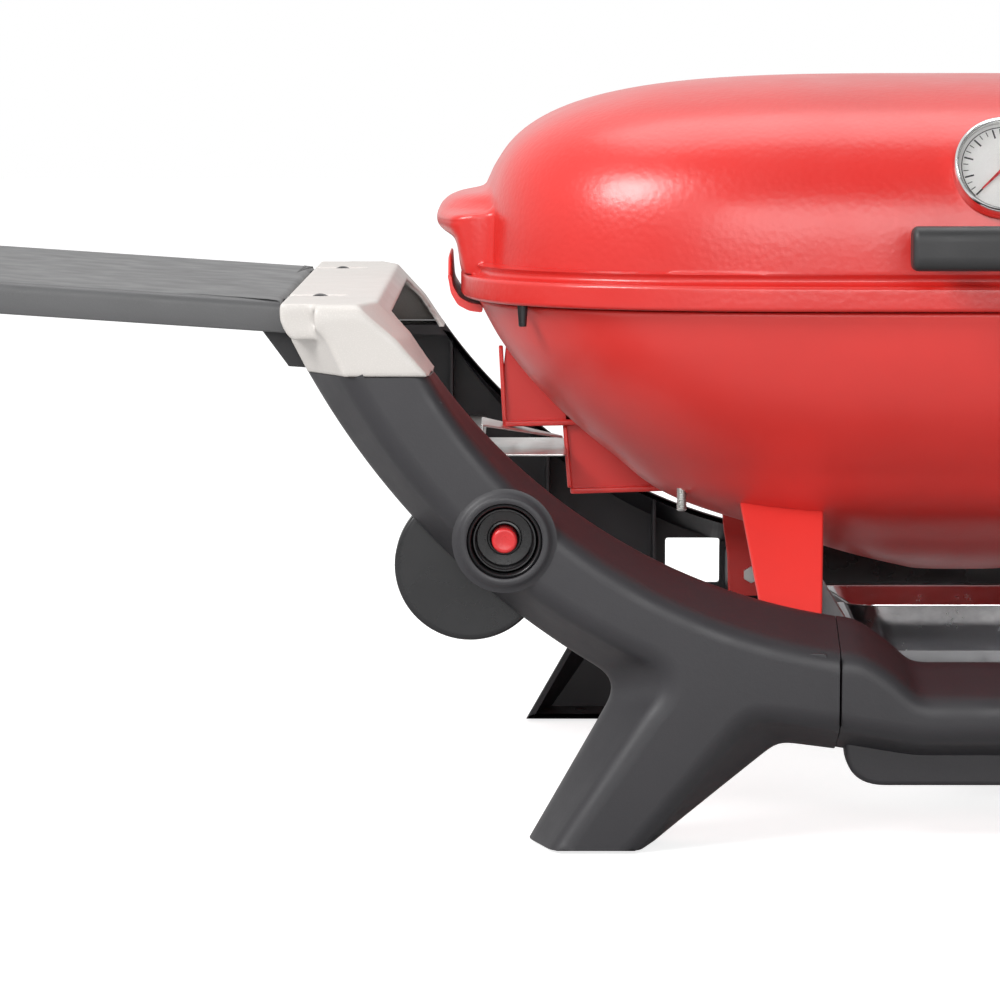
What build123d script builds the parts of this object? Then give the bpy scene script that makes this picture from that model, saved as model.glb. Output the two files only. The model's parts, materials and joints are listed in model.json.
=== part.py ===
from build123d import *
from math import cos, hypot, pi, radians, sin
import os

os.makedirs("parts", exist_ok=True)

# A portable gas barbecue grill: a moulded cradle frame on four legs, a cast cook box and
# lid, two fold-up side tables, a push-button igniter and a turning gas control.
# Millimetres. +X is to the cook's right, -Y is the front, +Z is up, Z = 0 is the ground.
# The origin lies on the ground under the middle of the grill.

# ---- cradle frame
FACE_Y = 230.0            # flat front face of the frame mouldings, from the middle
BEVEL_Y = 195.0           # where the wide bevels start
OPEN_Y = 188.0            # open inner edge of the mouldings
WALL = 3.5
RIB = 2.2
RIB_BACK = 8.0            # ribs stop this far inside the open edge
RIB_X = (285.0, 243.0, 173.0, 123.0)
SEAM_X = 88.0             # arm to rail joint
SEAM_GAP = 0.5
RAIL_X = SEAM_X - SEAM_GAP
YOKE_Z = 262.0            # arm to yoke joint
GROUND_GAP = 1.5          # the legs stand on pads that stick out this far

SCREW_R = 2.5             # seam screws
SCREW_Z = (78.0, 100.0)
SCREW_LENGTH = 8.0
FASTENER_Y = 208.0
FOOT_X = 221.0
PAD_STEM_R = 4.0
BOSS_X = 110.0            # cook box leg bolts
BOSS_Z = 98.0
LEG_BOLT_R = 3.0

# ---- round controls in the front arms
CONTROL_X = 271.0
CONTROL_Z = 173.0
COLLAR_R = 24.0
COLLAR_RISE = 3.0
SOCKET_R = 20.5
DISC_X = 290.0
DISC_Z = 154.0
DISC_R = 42.0
DISC_DEPTH = 14.0

# ---- carrying yokes and folding tables
TOP_Z = 301.0
HINGE_X = 374.0           # table hinge axis
HINGE_Z = 296.0
NOSE_R = 18.7             # yoke nose, round the hinge axis
LEDGE_Z = 281.5           # the unfolded table rests on this ledge
TABLE_SLOPE = 3.8         # degrees, rising outwards
TABLE_LENGTH = 264.0
TABLE_HALF_Y = 180.0
TABLE_THICK = 18.0
TABLE_WALL = 3.0
LUG_Y = 144.0
LUG_WIDE = 12.0
PIN_R = 2.5
RUNNING = 0.05            # radial clearance of a turning pin

# ---- cook box and lid
OVAL_POWER = 3.6          # how square the plan outline is
CAST = 4.0                # casting wall
BOX_TOP = 295.0
LEDGE_DROP = 16.0         # the grate ledge lies this far below the rim
LID_BOTTOM = 296.0
LID_HALF_X = 297.0
LID_HALF_Y = 215.0
BAND_TOP = 310.0
GROOVE_TOP = 316.0
GROOVE_DEEP = 5.0
LID_TOP = 425.0
DOME_STEP = 14.0          # the dome rises this far inside the band at each end
DOME_POWER = 3.1
DOME_LEVELS = (0.0, 0.25, 0.5, 0.68, 0.82, 0.92, 0.975, 0.998)
BOX_LEVELS = (            # z, half width, half depth, from the rim down
    (295.0, 288.0, 206.0),
    (268.0, 273.0, 195.0),
    (236.0, 247.0, 177.0),
    (203.0, 210.0, 151.0),
    (176.0, 172.0, 124.0),
    (156.0, 115.0, 85.0),
    (138.0, 60.0, 48.0),
    (130.0, 30.0, 26.0),
)
BOX_FLOOR = BOX_LEVELS[-1][0]
DRAIN_R = 13.0
LID_HINGE_Y = 232.0
LID_HINGE_Z = 288.0
LID_HINGE_X = (-156.0, 156.0)
LID_PIN_R = 3.0

# ---- grate, burner and gas
GRATE_HALF_X = 270.0
GRATE_HALF_Y = 189.0
GRATE_Z = BOX_TOP - LEDGE_DROP + 0.3
GRATE_THICK = 9.0
GRATE_BAR = 7.0
GRATE_PITCH = 15.0
BURNER_Z = 222.0
BURNER_R = 8.0
BURNER_X = 150.0
BURNER_Y = 92.0
BURNER_CORNER = 40.0
VALVE_Y = -166.0
VALVE_BACK = 150.0
VALVE_FRONT = 184.0
STEM_R = 4.0
KNOB_R = 17.5
KNOB_BACK = 222.0
KNOB_FRONT = 238.0
KNOB_DEPTH = 15.5         # bore in the knob, leaving room for the push
INLET_X = 146.5
INLET_Z = 102.0
INLET_END_Y = 255.0
PIPE_R = 4.0

VENTURI_FROM = (150.0, -60.0, BURNER_Z)
VENTURI_TO = (245.0, -158.0, 177.0)
VENTURI_R = 9.0
ELECTRODE_X = -100.0
ELECTRODE_Y = -70.0
ELECTRODE_R = 3.5
GRATE_RIM = 10.0
GRATE_SLOTS = 17
LEG_X = 112.0             # strap legs of the cook box
FIN_THICK = 5.0
LIP_Y = 58.0
LIP = (                   # scooped lip at each end, in front view
    (286, 287), (298, 288.5), (304, 299), (304.5, 318),
    (302.3, 319), (301.5, 301), (297, 293), (286, 291),
)
STUD_X = 169.0
STUD_Y = 100.0

# ---- side braces
BRACE_Y = 196.0
BRACE_Z = 200.4

# ---- drip tray
HANGER_X = 82.0
HANGER_Z = 92.0
SHEET = 1.2
HOLDER_X = 79.0
HOLDER_Z = 94.0
HOLDER_Y = 118.0
FOIL_X = 70.0

# ---- lid fittings
HANDLE_X = 54.0
HANDLE_Z = 332.0
HANDLE_FRONT_Y = -255.0
GAUGE_Z = 372.0
GAUGE_Y = -202.0
GAUGE_TILT = 24.0
GAUGE_R = 28.0
NEEDLE_REST = 135.0       # degrees, anticlockwise from straight up
LID_LUG = 10.0
GAUGE_PLANE = Plane(
    origin=(0, GAUGE_Y, GAUGE_Z),
    x_dir=(1, 0, 0),
    z_dir=(0, -cos(radians(GAUGE_TILT)), sin(radians(GAUGE_TILT))),
)

FROM_BASE = (Align.CENTER, Align.CENTER, Align.MIN)
TO_TOP = (Align.CENTER, Align.CENTER, Align.MAX)

venturi_run = tuple(end - start for start, end in zip(VENTURI_FROM, VENTURI_TO))
VENTURI_LENGTH = hypot(*venturi_run)
VENTURI_PLANE = Plane(VENTURI_FROM, z_dir=venturi_run)


def save(part, name):
    """Label a finished piece and write its STEP file."""
    part.label = name
    export_step(part, "parts/" + name + ".step")


def mirrored(part, *planes):
    """A piece mirrored in each of the planes in turn."""
    for plane in planes:
        part = mirror(part, about=plane)
    return part


def ring(points, mode=Mode.ADD):
    """Fill a closed outline. A point with a third value is the middle of an arc."""
    with BuildLine() as outline:
        here = points[0][:2]
        middle = None
        for point in points[1:] + [points[0]]:
            if len(point) == 3:
                middle = point[:2]
                continue
            if middle is None:
                Line(here, point[:2])
            else:
                ThreePointArc(here, middle, point[:2])
            here = point[:2]
            middle = None
    make_face(outline.edges(), mode=mode)


def inset(points, distance):
    """The same outline with every point moved inwards; the outline runs anticlockwise."""
    moved = []
    for index, point in enumerate(points):
        before = points[index - 1]
        after = points[(index + 1) % len(points)]
        ax, ay = point[0] - before[0], point[1] - before[1]
        bx, by = after[0] - point[0], after[1] - point[1]
        al, bl = hypot(ax, ay), hypot(bx, by)
        n1 = (-ay / al, ax / al)
        n2 = (-by / bl, bx / bl)
        grow = distance / (1.0 + n1[0] * n2[0] + n1[1] * n2[1])
        corner = (point[0] + grow * (n1[0] + n2[0]), point[1] + grow * (n1[1] + n2[1]))
        moved.append(corner + tuple(point[2:]))
    return moved


def oval(half_x, half_y, mode=Mode.ADD):
    """Fill the squarish oval that the cook box, lid and grates share in plan."""
    count = 36
    points = []
    for step in range(count):
        angle = 2.0 * pi * (step + 0.5) / count
        c, s = cos(angle), sin(angle)
        x = half_x * abs(c) ** (2.0 / OVAL_POWER) * (1 if c > 0 else -1)
        y = half_y * abs(s) ** (2.0 / OVAL_POWER) * (1 if s > 0 else -1)
        points.append((x, y))
    with BuildLine() as outline:
        Spline(*points, periodic=True)
    make_face(outline.edges(), mode=mode)


# ======================================================================= frame mouldings

# Right-hand arm in front view: the outer edge, then the flat face inside the bevels.
ARM_EDGE = [
    (310, YOKE_Z), (203, 165.5, "arc"), (SEAM_X, 126),
    (SEAM_X, 52), (119, 56), (186, GROUND_GAP), (257, GROUND_GAP),
    (213, 79), (210.5, 88, "arc"), (217, 96.5),
    (322, 182, "arc"), (379, YOKE_Z),
]
ARM_FACE = [
    (312, YOKE_Z), (203, 150, "arc"), (SEAM_X, 109),
    (SEAM_X, 70), (137, 77), (198, GROUND_GAP), (244, GROUND_GAP),
    (188, 83), (179.5, 94, "arc"), (185, 105),
    (298, 181, "arc"), (357, YOKE_Z),
]

with BuildPart() as arm_block:
    with BuildSketch(Plane.XZ.offset(OPEN_Y)):
        ring(ARM_EDGE)
    extrude(amount=BEVEL_Y - OPEN_Y)
    with BuildSketch(Plane.XZ.offset(BEVEL_Y)):
        ring(ARM_EDGE)
    with BuildSketch(Plane.XZ.offset(FACE_Y)):
        ring(ARM_FACE)
    loft(ruled=True)

with BuildPart() as arm_cavity:
    with BuildSketch(Plane.XZ.offset(OPEN_Y)):
        ring(inset(ARM_EDGE, WALL))
    extrude(amount=BEVEL_Y - OPEN_Y)
    with BuildSketch(Plane.XZ.offset(BEVEL_Y)):
        ring(inset(ARM_EDGE, WALL))
    with BuildSketch(Plane.XZ.offset(FACE_Y - WALL)):
        ring(inset(ARM_FACE, WALL * 0.6))
    loft(ruled=True)

with BuildPart() as arm_ribs:
    rib_depth = FACE_Y - OPEN_Y - RIB_BACK
    rib_y = -(FACE_Y - rib_depth / 2)
    with Locations(*[(x, rib_y, 150) for x in RIB_X]):
        Box(RIB, rib_depth, 320)
    with Locations((210, rib_y, 30)):
        Box(120, rib_depth, RIB)
    add(arm_cavity.part, mode=Mode.INTERSECT)

# Boss that takes the cook box leg, and the tube round the control socket.
with BuildPart() as arm_boss:
    with BuildSketch(Plane.XZ.offset(OPEN_Y + 2)):
        with Locations((BOSS_X, BOSS_Z)):
            Rectangle(30, 26)
    extrude(amount=FACE_Y - OPEN_Y - 4)
    with BuildSketch(Plane.XZ.offset(OPEN_Y + 6)):
        with Locations((CONTROL_X, CONTROL_Z)):
            Circle(SOCKET_R + WALL)
    extrude(amount=FACE_Y - OPEN_Y - 8)
    add(arm_cavity.part, mode=Mode.INTERSECT)

# Holes for the two seam screws, the foot pad stem and the cook box leg bolt.
with BuildPart() as arm_holes:
    for height in SCREW_Z:
        with Locations(Plane((SEAM_X, -FASTENER_Y, height), z_dir=(1, 0, 0))):
            Cylinder(SCREW_R, 20)
    with Locations((FOOT_X, -FASTENER_Y, GROUND_GAP + WALL / 2)):
        Cylinder(PAD_STEM_R, WALL + 2)
    with Locations(Plane((BOSS_X, -OPEN_Y, BOSS_Z), z_dir=(0, 1, 0))):
        Cylinder(LEG_BOLT_R, 60)

with BuildPart() as arm:
    add(arm_block.part)
    add(arm_cavity.part, mode=Mode.SUBTRACT)
    add(arm_ribs.part)
    add(arm_boss.part)
    with BuildSketch(Plane.XZ.offset(FACE_Y - WALL)):
        with Locations((CONTROL_X, CONTROL_Z)):
            Circle(COLLAR_R)
    extrude(amount=WALL + COLLAR_RISE)
    with BuildSketch(Plane.XZ.offset(OPEN_Y)):
        with Locations((CONTROL_X, CONTROL_Z)):
            Circle(SOCKET_R)
    extrude(amount=FACE_Y - OPEN_Y + 10, mode=Mode.SUBTRACT)
    add(arm_holes.part, mode=Mode.SUBTRACT)

# The rear arms have a hose window instead of a control socket.
with BuildPart() as rear_arm:
    add(arm_block.part)
    add(arm_cavity.part, mode=Mode.SUBTRACT)
    add(arm_ribs.part)
    add(arm_boss.part)
    with BuildSketch(Plane.XZ.offset(OPEN_Y - 1)):
        with Locations((INLET_X, INLET_Z)):
            RectangleRounded(36, 30, 2)
    extrude(amount=FACE_Y, mode=Mode.SUBTRACT)
    add(arm_holes.part, mode=Mode.SUBTRACT)

save(arm.part, "front_arm_right")
save(mirrored(arm.part, Plane.YZ), "front_arm_left")
save(mirrored(rear_arm.part, Plane.XZ), "rear_arm_right")
save(mirrored(rear_arm.part, Plane.XZ, Plane.YZ), "rear_arm_left")


def rail(edge, face, hollow_edge, hollow_face):
    """A centre rail at the front: bevelled like the arms, and hollow behind."""
    with BuildPart() as beam:
        with BuildSketch(Plane.XZ.offset(OPEN_Y)):
            ring(edge)
        extrude(amount=BEVEL_Y - OPEN_Y)
        with BuildSketch(Plane.XZ.offset(BEVEL_Y)):
            ring(edge)
        with BuildSketch(Plane.XZ.offset(FACE_Y)):
            ring(face)
        loft(ruled=True)
        with BuildSketch(Plane.XZ.offset(OPEN_Y)):
            ring(hollow_edge)
        extrude(amount=BEVEL_Y - OPEN_Y, mode=Mode.SUBTRACT)
        with BuildSketch(Plane.XZ.offset(BEVEL_Y)):
            ring(hollow_edge)
        with BuildSketch(Plane.XZ.offset(FACE_Y - WALL)):
            ring(hollow_face)
        loft(ruled=True, mode=Mode.SUBTRACT)
        for side in (1, -1):
            for height in SCREW_Z:
                with Locations(Plane((side * SEAM_X, -FASTENER_Y, height), z_dir=(1, 0, 0))):
                    Cylinder(SCREW_R, 9, mode=Mode.SUBTRACT)
    return beam.part


def two_sided(half):
    """An outline from its right-hand half, listed from the top to the bottom."""
    return half[::-1] + [(-point[0],) + tuple(point[1:]) for point in half]


FRONT_RAIL_EDGE = two_sided([
    (46, 100), (60, 113, "arc"), (78, 125), (RAIL_X, 126), (RAIL_X, 53), (45, 46),
])
FRONT_RAIL_FACE = two_sided([
    (44, 84), (58, 97, "arc"), (76, 108), (RAIL_X, 109), (RAIL_X, 70), (45, 63),
])
REAR_RAIL_EDGE = two_sided([(81.5, 68), (83, 118), (RAIL_X, 126), (RAIL_X, 53), (60, 40)])
REAR_RAIL_FACE = two_sided([(81.5, 64), (84, 104), (RAIL_X, 109), (RAIL_X, 58), (60, 44)])
REAR_HOLLOW_EDGE = two_sided([(76, 64), (76, 53), (58, 43.5)])
REAR_HOLLOW_FACE = two_sided([(74, 61), (74, 56), (58, 48)])

# The front rail has a rounded keel hanging behind its lower edge.
with BuildPart() as front_rail:
    hollow_edge = inset(FRONT_RAIL_EDGE, WALL)
    hollow_face = inset(FRONT_RAIL_FACE, WALL * 0.6)
    add(rail(FRONT_RAIL_EDGE, FRONT_RAIL_FACE, hollow_edge, hollow_face))
    with BuildSketch(Plane.XZ.offset(OPEN_Y)):
        with Locations((0, 64)):
            RectangleRounded(166, 62, 30)
        with Locations((0, 82)):
            Rectangle(400, 62, mode=Mode.SUBTRACT)
    extrude(amount=16)
save(front_rail.part, "front_rail")

# The rear rail dips deeply, so that the drip tray slides out over it.
with BuildPart() as rear_rail:
    add(rail(REAR_RAIL_EDGE, REAR_RAIL_FACE, REAR_HOLLOW_EDGE, REAR_HOLLOW_FACE))
save(mirrored(rear_rail.part, Plane.XZ), "rear_rail")

with BuildPart() as foot_pads:
    for x in (FOOT_X, -FOOT_X):
        for y in (FASTENER_Y, -FASTENER_Y):
            with BuildSketch(Plane.XY):
                with Locations((x, y)):
                    RectangleRounded(46, 16, 6)
            extrude(amount=GROUND_GAP)
            with BuildSketch(Plane.XY):
                with Locations((x, y)):
                    Circle(PAD_STEM_R)
            extrude(amount=GROUND_GAP + WALL)
save(foot_pads.part, "foot_pads")

# Screws that pull each arm against a rail, through both end walls.
with BuildPart() as frame_screws:
    for side in (1, -1):
        for y in (FASTENER_Y, -FASTENER_Y):
            for height in SCREW_Z:
                with Locations(Plane((side * (SEAM_X + WALL), y, height), z_dir=(side, 0, 0))):
                    Cylinder(2 * SCREW_R, 3, align=FROM_BASE)
                    Cylinder(SCREW_R, SCREW_LENGTH, align=TO_TOP)
save(frame_screws.part, "frame_screws")

# ======================================================================= carrying yokes

# Plan outline at three heights: half widths at the bevel and at the flat front face.
YOKE_LEVELS = (           # z, inner edge, inner face corner, outer face corner, outer edge
    (YOKE_Z, 310.0, 312.0, 357.0, 379.0),
    (LEDGE_Z, 323.0, 329.0, 366.0, 389.0),
    (TOP_Z, 341.0, 352.0, 384.0, 393.0),
)


def yoke_section(level, distance=0.0):
    """The yoke's plan outline at one level, moved inwards by a distance."""
    height, inner, inner_face, outer_face, outer = level
    corners = [
        (inner, -BEVEL_Y), (inner_face, -FACE_Y), (outer_face, -FACE_Y), (outer, -BEVEL_Y),
        (outer, BEVEL_Y), (outer_face, FACE_Y), (inner_face, FACE_Y), (inner, BEVEL_Y),
    ]
    ring(inset(corners, distance))


with BuildPart() as yoke:
    for lower, upper in zip(YOKE_LEVELS, YOKE_LEVELS[1:]):
        for level in (lower, upper):
            with BuildSketch(Plane.XY.offset(level[0])):
                yoke_section(level)
        loft(ruled=True)
    fillet(yoke.faces().sort_by(Axis.Z)[-1].edges().sort_by(Axis.Y)[0], 7)
    fillet(yoke.faces().sort_by(Axis.Z)[-1].edges().sort_by(Axis.Y)[-1], 7)
    for lower, upper in zip(YOKE_LEVELS, YOKE_LEVELS[1:]):
        for level in (lower, upper):
            shift = -WALL if level[0] == TOP_Z else 0.0
            with BuildSketch(Plane.XY.offset(level[0] + shift)):
                yoke_section(level, WALL)
        loft(ruled=True, mode=Mode.SUBTRACT)
    # Recess for the table's end, then the rounded nose on the hinge axis.
    with BuildSketch(Plane.XZ.offset(-FACE_Y - 1)):
        with Locations((HINGE_X + 20, (LEDGE_Z + TOP_Z) / 2 + 1)):
            Rectangle(40, TOP_Z - LEDGE_Z + 2)
    extrude(amount=2 * FACE_Y + 2, mode=Mode.SUBTRACT)
    with BuildSketch(Plane.XZ.offset(-FACE_Y + 8)):
        with Locations((HINGE_X, HINGE_Z)):
            Circle(NOSE_R)
        with Locations((HINGE_X, (LEDGE_Z + TOP_Z) / 2)):
            Rectangle(2 * NOSE_R + 2, TOP_Z - LEDGE_Z, mode=Mode.INTERSECT)
    extrude(amount=2 * FACE_Y - 16)
    # Grip opening along the inner side.
    with BuildSketch(Plane.YZ.offset(290)):
        with Locations((0, 277)):
            RectangleRounded(2 * 168, 30, 12)
    extrude(amount=62, mode=Mode.SUBTRACT)
    # Slots for the table lugs, and the pin bores across them.
    with Locations((HINGE_X + 3, LUG_Y, LEDGE_Z + 12), (HINGE_X + 3, -LUG_Y, LEDGE_Z + 12)):
        Box(34, LUG_WIDE + 1.2, 24, mode=Mode.SUBTRACT)
    with BuildSketch(Plane.XZ.offset(-LUG_Y - 20)):
        with Locations((HINGE_X, HINGE_Z)):
            Circle(PIN_R)
    extrude(amount=2 * LUG_Y + 40, mode=Mode.SUBTRACT)
save(yoke.part, "side_yoke_right")
save(mirrored(yoke.part, Plane.YZ), "side_yoke_left")

with BuildPart() as table_pins:
    for end in (1, -1):
        with Locations(Plane((HINGE_X, end * LUG_Y, HINGE_Z), z_dir=(0, 1, 0))):
            Cylinder(PIN_R, LUG_WIDE + 24)
save(table_pins.part, "table_pins_right")
save(mirrored(table_pins.part, Plane.YZ), "table_pins_left")

# ======================================================================= folding tables

slope = radians(TABLE_SLOPE)
TABLE_PLANE = Plane(
    origin=(HINGE_X + 12, 0, TOP_Z - 1),
    x_dir=(cos(slope), 0, sin(slope)),
    z_dir=(-sin(slope), 0, cos(slope)),
)
TABLE_REACH = TABLE_LENGTH + 10

# Hinge lugs with a stop heel that bears on the yoke when the table is down.
LUG_OUTLINE = [
    (HINGE_X - 6.5, HINGE_Z), (HINGE_X, HINGE_Z - 6.5, "arc"), (HINGE_X + 8, HINGE_Z - 6.4), (393, 289),
    (393.5, 281.8), (390.8, 279), (382, 260.8), (392, 261.5), (407, 281.8), (430, 283.4),
    (430, 285.8), (404, 291), (397, 297), (394.3, 299.4), (HINGE_X + 6, HINGE_Z + 3.5),
    (HINGE_X - 3.4, HINGE_Z + 4.4, "arc"),
]
with BuildPart() as table_lugs:
    for end in (1, -1):
        with BuildSketch(Plane.XZ.offset(end * LUG_Y - LUG_WIDE / 2)):
            ring(LUG_OUTLINE)
            with Locations((HINGE_X, HINGE_Z)):
                Circle(PIN_R + RUNNING, mode=Mode.SUBTRACT)
        extrude(amount=LUG_WIDE)
save(table_lugs.part, "table_lugs_right")
save(mirrored(table_lugs.part, Plane.YZ), "table_lugs_left")

with BuildPart() as table:
    with BuildSketch(TABLE_PLANE.offset(-TABLE_THICK)):
        with Locations((TABLE_REACH / 2, 0)):
            Rectangle(TABLE_REACH, 2 * TABLE_HALF_Y)
    extrude(amount=TABLE_THICK)
    outer_corners = table.edges().filter_by(lambda edge: edge.center().X > 600 and edge.length < 20)
    fillet(outer_corners, 38)
    fillet(table.faces().sort_by(Axis.Z)[-1].edges().filter_by(lambda edge: edge.center().X > 400), 5)
    with BuildSketch(TABLE_PLANE.offset(-TABLE_THICK)):
        with Locations((TABLE_REACH / 2 + 9, 0)):
            RectangleRounded(TABLE_REACH - 26, 2 * TABLE_HALF_Y - 2 * TABLE_WALL, 34)
    extrude(amount=TABLE_THICK - TABLE_WALL, mode=Mode.SUBTRACT)
    with BuildSketch(Plane.XZ.offset(-TABLE_HALF_Y - 1)):
        with Locations((HINGE_X, HINGE_Z)):
            Circle(NOSE_R + 0.8)
    extrude(amount=2 * TABLE_HALF_Y + 2, mode=Mode.SUBTRACT)
    # Stiffening ribs under the top.
    rib_depth = TABLE_THICK - TABLE_WALL
    with BuildSketch(TABLE_PLANE.offset(-TABLE_THICK + 3)):
        for y in (-90, 0, 90):
            with Locations((TABLE_REACH / 2, y)):
                Rectangle(TABLE_REACH - 40, RIB)
        for x in (80, 145, 210):
            with Locations((x, 0)):
                Rectangle(RIB, 2 * TABLE_HALF_Y - 4)
    extrude(amount=rib_depth - 2)
    add(table_lugs.part, mode=Mode.SUBTRACT)
save(table.part, "table_right")
save(mirrored(table.part, Plane.YZ), "table_left")

# ======================================================================= controls

with BuildPart() as housing_disc:
    with BuildSketch(Plane.XZ.offset(OPEN_Y - DISC_DEPTH)):
        with Locations((DISC_X, DISC_Z)):
            Circle(DISC_R)
    extrude(amount=DISC_DEPTH)
    chamfer(housing_disc.faces().sort_by(Axis.Y)[0].edges(), 1.2)
    with BuildSketch(Plane.XZ.offset(OPEN_Y - DISC_DEPTH)):
        with Locations((DISC_X, DISC_Z)):
            Circle(DISC_R - 3)
    extrude(amount=DISC_DEPTH - 3, mode=Mode.SUBTRACT)
    with BuildSketch(Plane.XZ.offset(OPEN_Y - DISC_DEPTH)):
        with Locations((CONTROL_X, CONTROL_Z)):
            Circle(14.5)
    extrude(amount=DISC_DEPTH, mode=Mode.SUBTRACT)
save(housing_disc.part, "valve_housing_disc")
save(mirrored(housing_disc.part, Plane.YZ), "igniter_housing_disc")

# Igniter: a socket insert, the spring chamber behind it, and a red push button.
INSERT_FRONT = FACE_Y + COLLAR_RISE - 2.0
CHAMBER_R = 10.0
CHAMBER_BACK = 150.0
BUTTON_R = 7.0
BUTTON_FRONT = FACE_Y + COLLAR_RISE - 3.0
INSERT_FLOOR = 214.0


def on_front(distance):
    """A plane facing the front, at a distance from the middle, centred on the left control."""
    return Plane((-CONTROL_X, -distance, CONTROL_Z), x_dir=(1, 0, 0), z_dir=(0, -1, 0))


with BuildPart() as igniter_bezel:
    with BuildSketch(on_front(INSERT_FLOOR)):
        Circle(SOCKET_R - 0.1)
    extrude(amount=INSERT_FRONT - INSERT_FLOOR)
    with BuildSketch(on_front(INSERT_FLOOR + 2)):
        Circle(SOCKET_R - 1.6)
    extrude(amount=INSERT_FRONT - INSERT_FLOOR, mode=Mode.SUBTRACT)
    with BuildSketch(on_front(INSERT_FLOOR + 2)):
        Circle(17.4)
        Circle(15.8, mode=Mode.SUBTRACT)
    extrude(amount=INSERT_FRONT - INSERT_FLOOR - 4)
    with BuildSketch(on_front(INSERT_FLOOR)):
        Circle(BUTTON_R + 0.4)
    extrude(amount=10, mode=Mode.SUBTRACT)
save(igniter_bezel.part, "igniter_bezel")

with BuildPart() as igniter_module:
    with BuildSketch(on_front(CHAMBER_BACK)):
        Circle(CHAMBER_R)
    extrude(amount=INSERT_FLOOR - CHAMBER_BACK)
    with BuildSketch(on_front(CHAMBER_BACK + 4)):
        Circle(BUTTON_R + 0.6)
    extrude(amount=INSERT_FLOOR - CHAMBER_BACK, mode=Mode.SUBTRACT)
    with BuildSketch(on_front(CHAMBER_BACK - 8)):
        with Locations((-4, 0), (4, 0)):
            Rectangle(1, 4.8)
    extrude(amount=8)
save(igniter_module.part, "igniter_module")

with BuildPart() as igniter_button:
    with BuildSketch(on_front(196)):
        Circle(BUTTON_R)
    extrude(amount=BUTTON_FRONT - 196)
    fillet(igniter_button.faces().sort_by(Axis.Y)[0].edges(), 1.2)
save(igniter_button.part, "igniter_button")

SPRING_BACK = CHAMBER_BACK + 4.0
SPRING_FRONT = 196.0
SPRING_TURNS = 7
SPRING_WIRE = 0.6
SPRING_R = 5.2
spring_height = SPRING_FRONT - SPRING_BACK - 2 * SPRING_WIRE
with BuildPart() as igniter_spring:
    with BuildLine() as coil:
        Helix(spring_height / SPRING_TURNS, spring_height, SPRING_R)
    with BuildSketch(Plane(coil.line @ 0, z_dir=coil.line % 0)):
        Circle(SPRING_WIRE)
    sweep(is_frenet=True)
coil_base = on_front(SPRING_BACK + SPRING_WIRE)
save(coil_base.location * igniter_spring.part, "igniter_spring")

# Gas control on the right arm: socket insert, brass valve, turning stem and push-in knob.
with BuildPart() as knob_bezel:
    with BuildSketch(Plane.XZ.offset(INSERT_FLOOR)):
        with Locations((CONTROL_X, CONTROL_Z)):
            Circle(SOCKET_R - 0.1)
    extrude(amount=INSERT_FRONT - INSERT_FLOOR)
    with BuildSketch(Plane.XZ.offset(INSERT_FLOOR + 2)):
        with Locations((CONTROL_X, CONTROL_Z)):
            Circle(SOCKET_R - 1.6)
    extrude(amount=INSERT_FRONT - INSERT_FLOOR, mode=Mode.SUBTRACT)
    with BuildSketch(Plane.XZ.offset(INSERT_FLOOR)):
        with Locations((CONTROL_X, CONTROL_Z)):
            Circle(STEM_R + 1)
    extrude(amount=10, mode=Mode.SUBTRACT)
save(knob_bezel.part, "knob_bezel")


def control_plane(distance):
    """A plane facing the front, at a distance from the middle, centred on the right control."""
    return Plane((CONTROL_X, -distance, CONTROL_Z), x_dir=(1, 0, 0), z_dir=(0, -1, 0))


with BuildPart() as gas_valve:
    with BuildSketch(control_plane(VALVE_BACK)):
        RectangleRounded(20, 20, 3)
    extrude(amount=VALVE_FRONT - VALVE_BACK)
    with BuildSketch(control_plane(VALVE_FRONT)):
        Circle(9)
    extrude(amount=INSERT_FLOOR - VALVE_FRONT)
    with BuildSketch(control_plane(VALVE_FRONT - 8)):
        Circle(STEM_R + RUNNING)
    extrude(amount=40, mode=Mode.SUBTRACT)
    with Locations(Plane((CONTROL_X - 10, VALVE_Y, CONTROL_Z), z_dir=(-1, 0, 0))):
        Cylinder(7, 8, align=FROM_BASE)
    with Locations(Plane((CONTROL_X, VALVE_Y + 6, CONTROL_Z - 10), z_dir=(0, 0, -1))):
        Cylinder(PIPE_R + 2.5, 8, align=FROM_BASE)
        Cylinder(PIPE_R, 8.01, align=FROM_BASE, mode=Mode.SUBTRACT)
save(gas_valve.part, "gas_valve")

with BuildPart() as valve_stem:
    with BuildSketch(control_plane(VALVE_FRONT - 8)):
        Circle(STEM_R)
    extrude(amount=KNOB_BACK + 12 - (VALVE_FRONT - 8))
    with BuildSketch(control_plane(KNOB_BACK - 5.5)):
        with Locations((0, -STEM_R)):
            Rectangle(3 * STEM_R, STEM_R)
    extrude(amount=20, mode=Mode.SUBTRACT)
save(valve_stem.part, "valve_stem")

with BuildPart() as control_knob:
    with BuildSketch(control_plane(KNOB_BACK)):
        Circle(KNOB_R)
    extrude(amount=KNOB_FRONT - KNOB_BACK)
    chamfer(control_knob.faces().sort_by(Axis.Y)[0].edges(), 1.5)
    with BuildSketch(control_plane(KNOB_FRONT)):
        RectangleRounded(9, 2 * KNOB_R - 2, 4)
    extrude(amount=11)
    with BuildSketch(control_plane(KNOB_BACK)):
        with PolarLocations(KNOB_R + 1.2, 24):
            Circle(1.9)
    extrude(amount=KNOB_FRONT - KNOB_BACK - 2, mode=Mode.SUBTRACT)
    with BuildSketch(control_plane(KNOB_BACK)):
        Circle(STEM_R + 0.2)
        with Locations((0, -STEM_R - 0.35)):
            Rectangle(3 * STEM_R, STEM_R, mode=Mode.SUBTRACT)
    extrude(amount=KNOB_DEPTH, mode=Mode.SUBTRACT)
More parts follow.
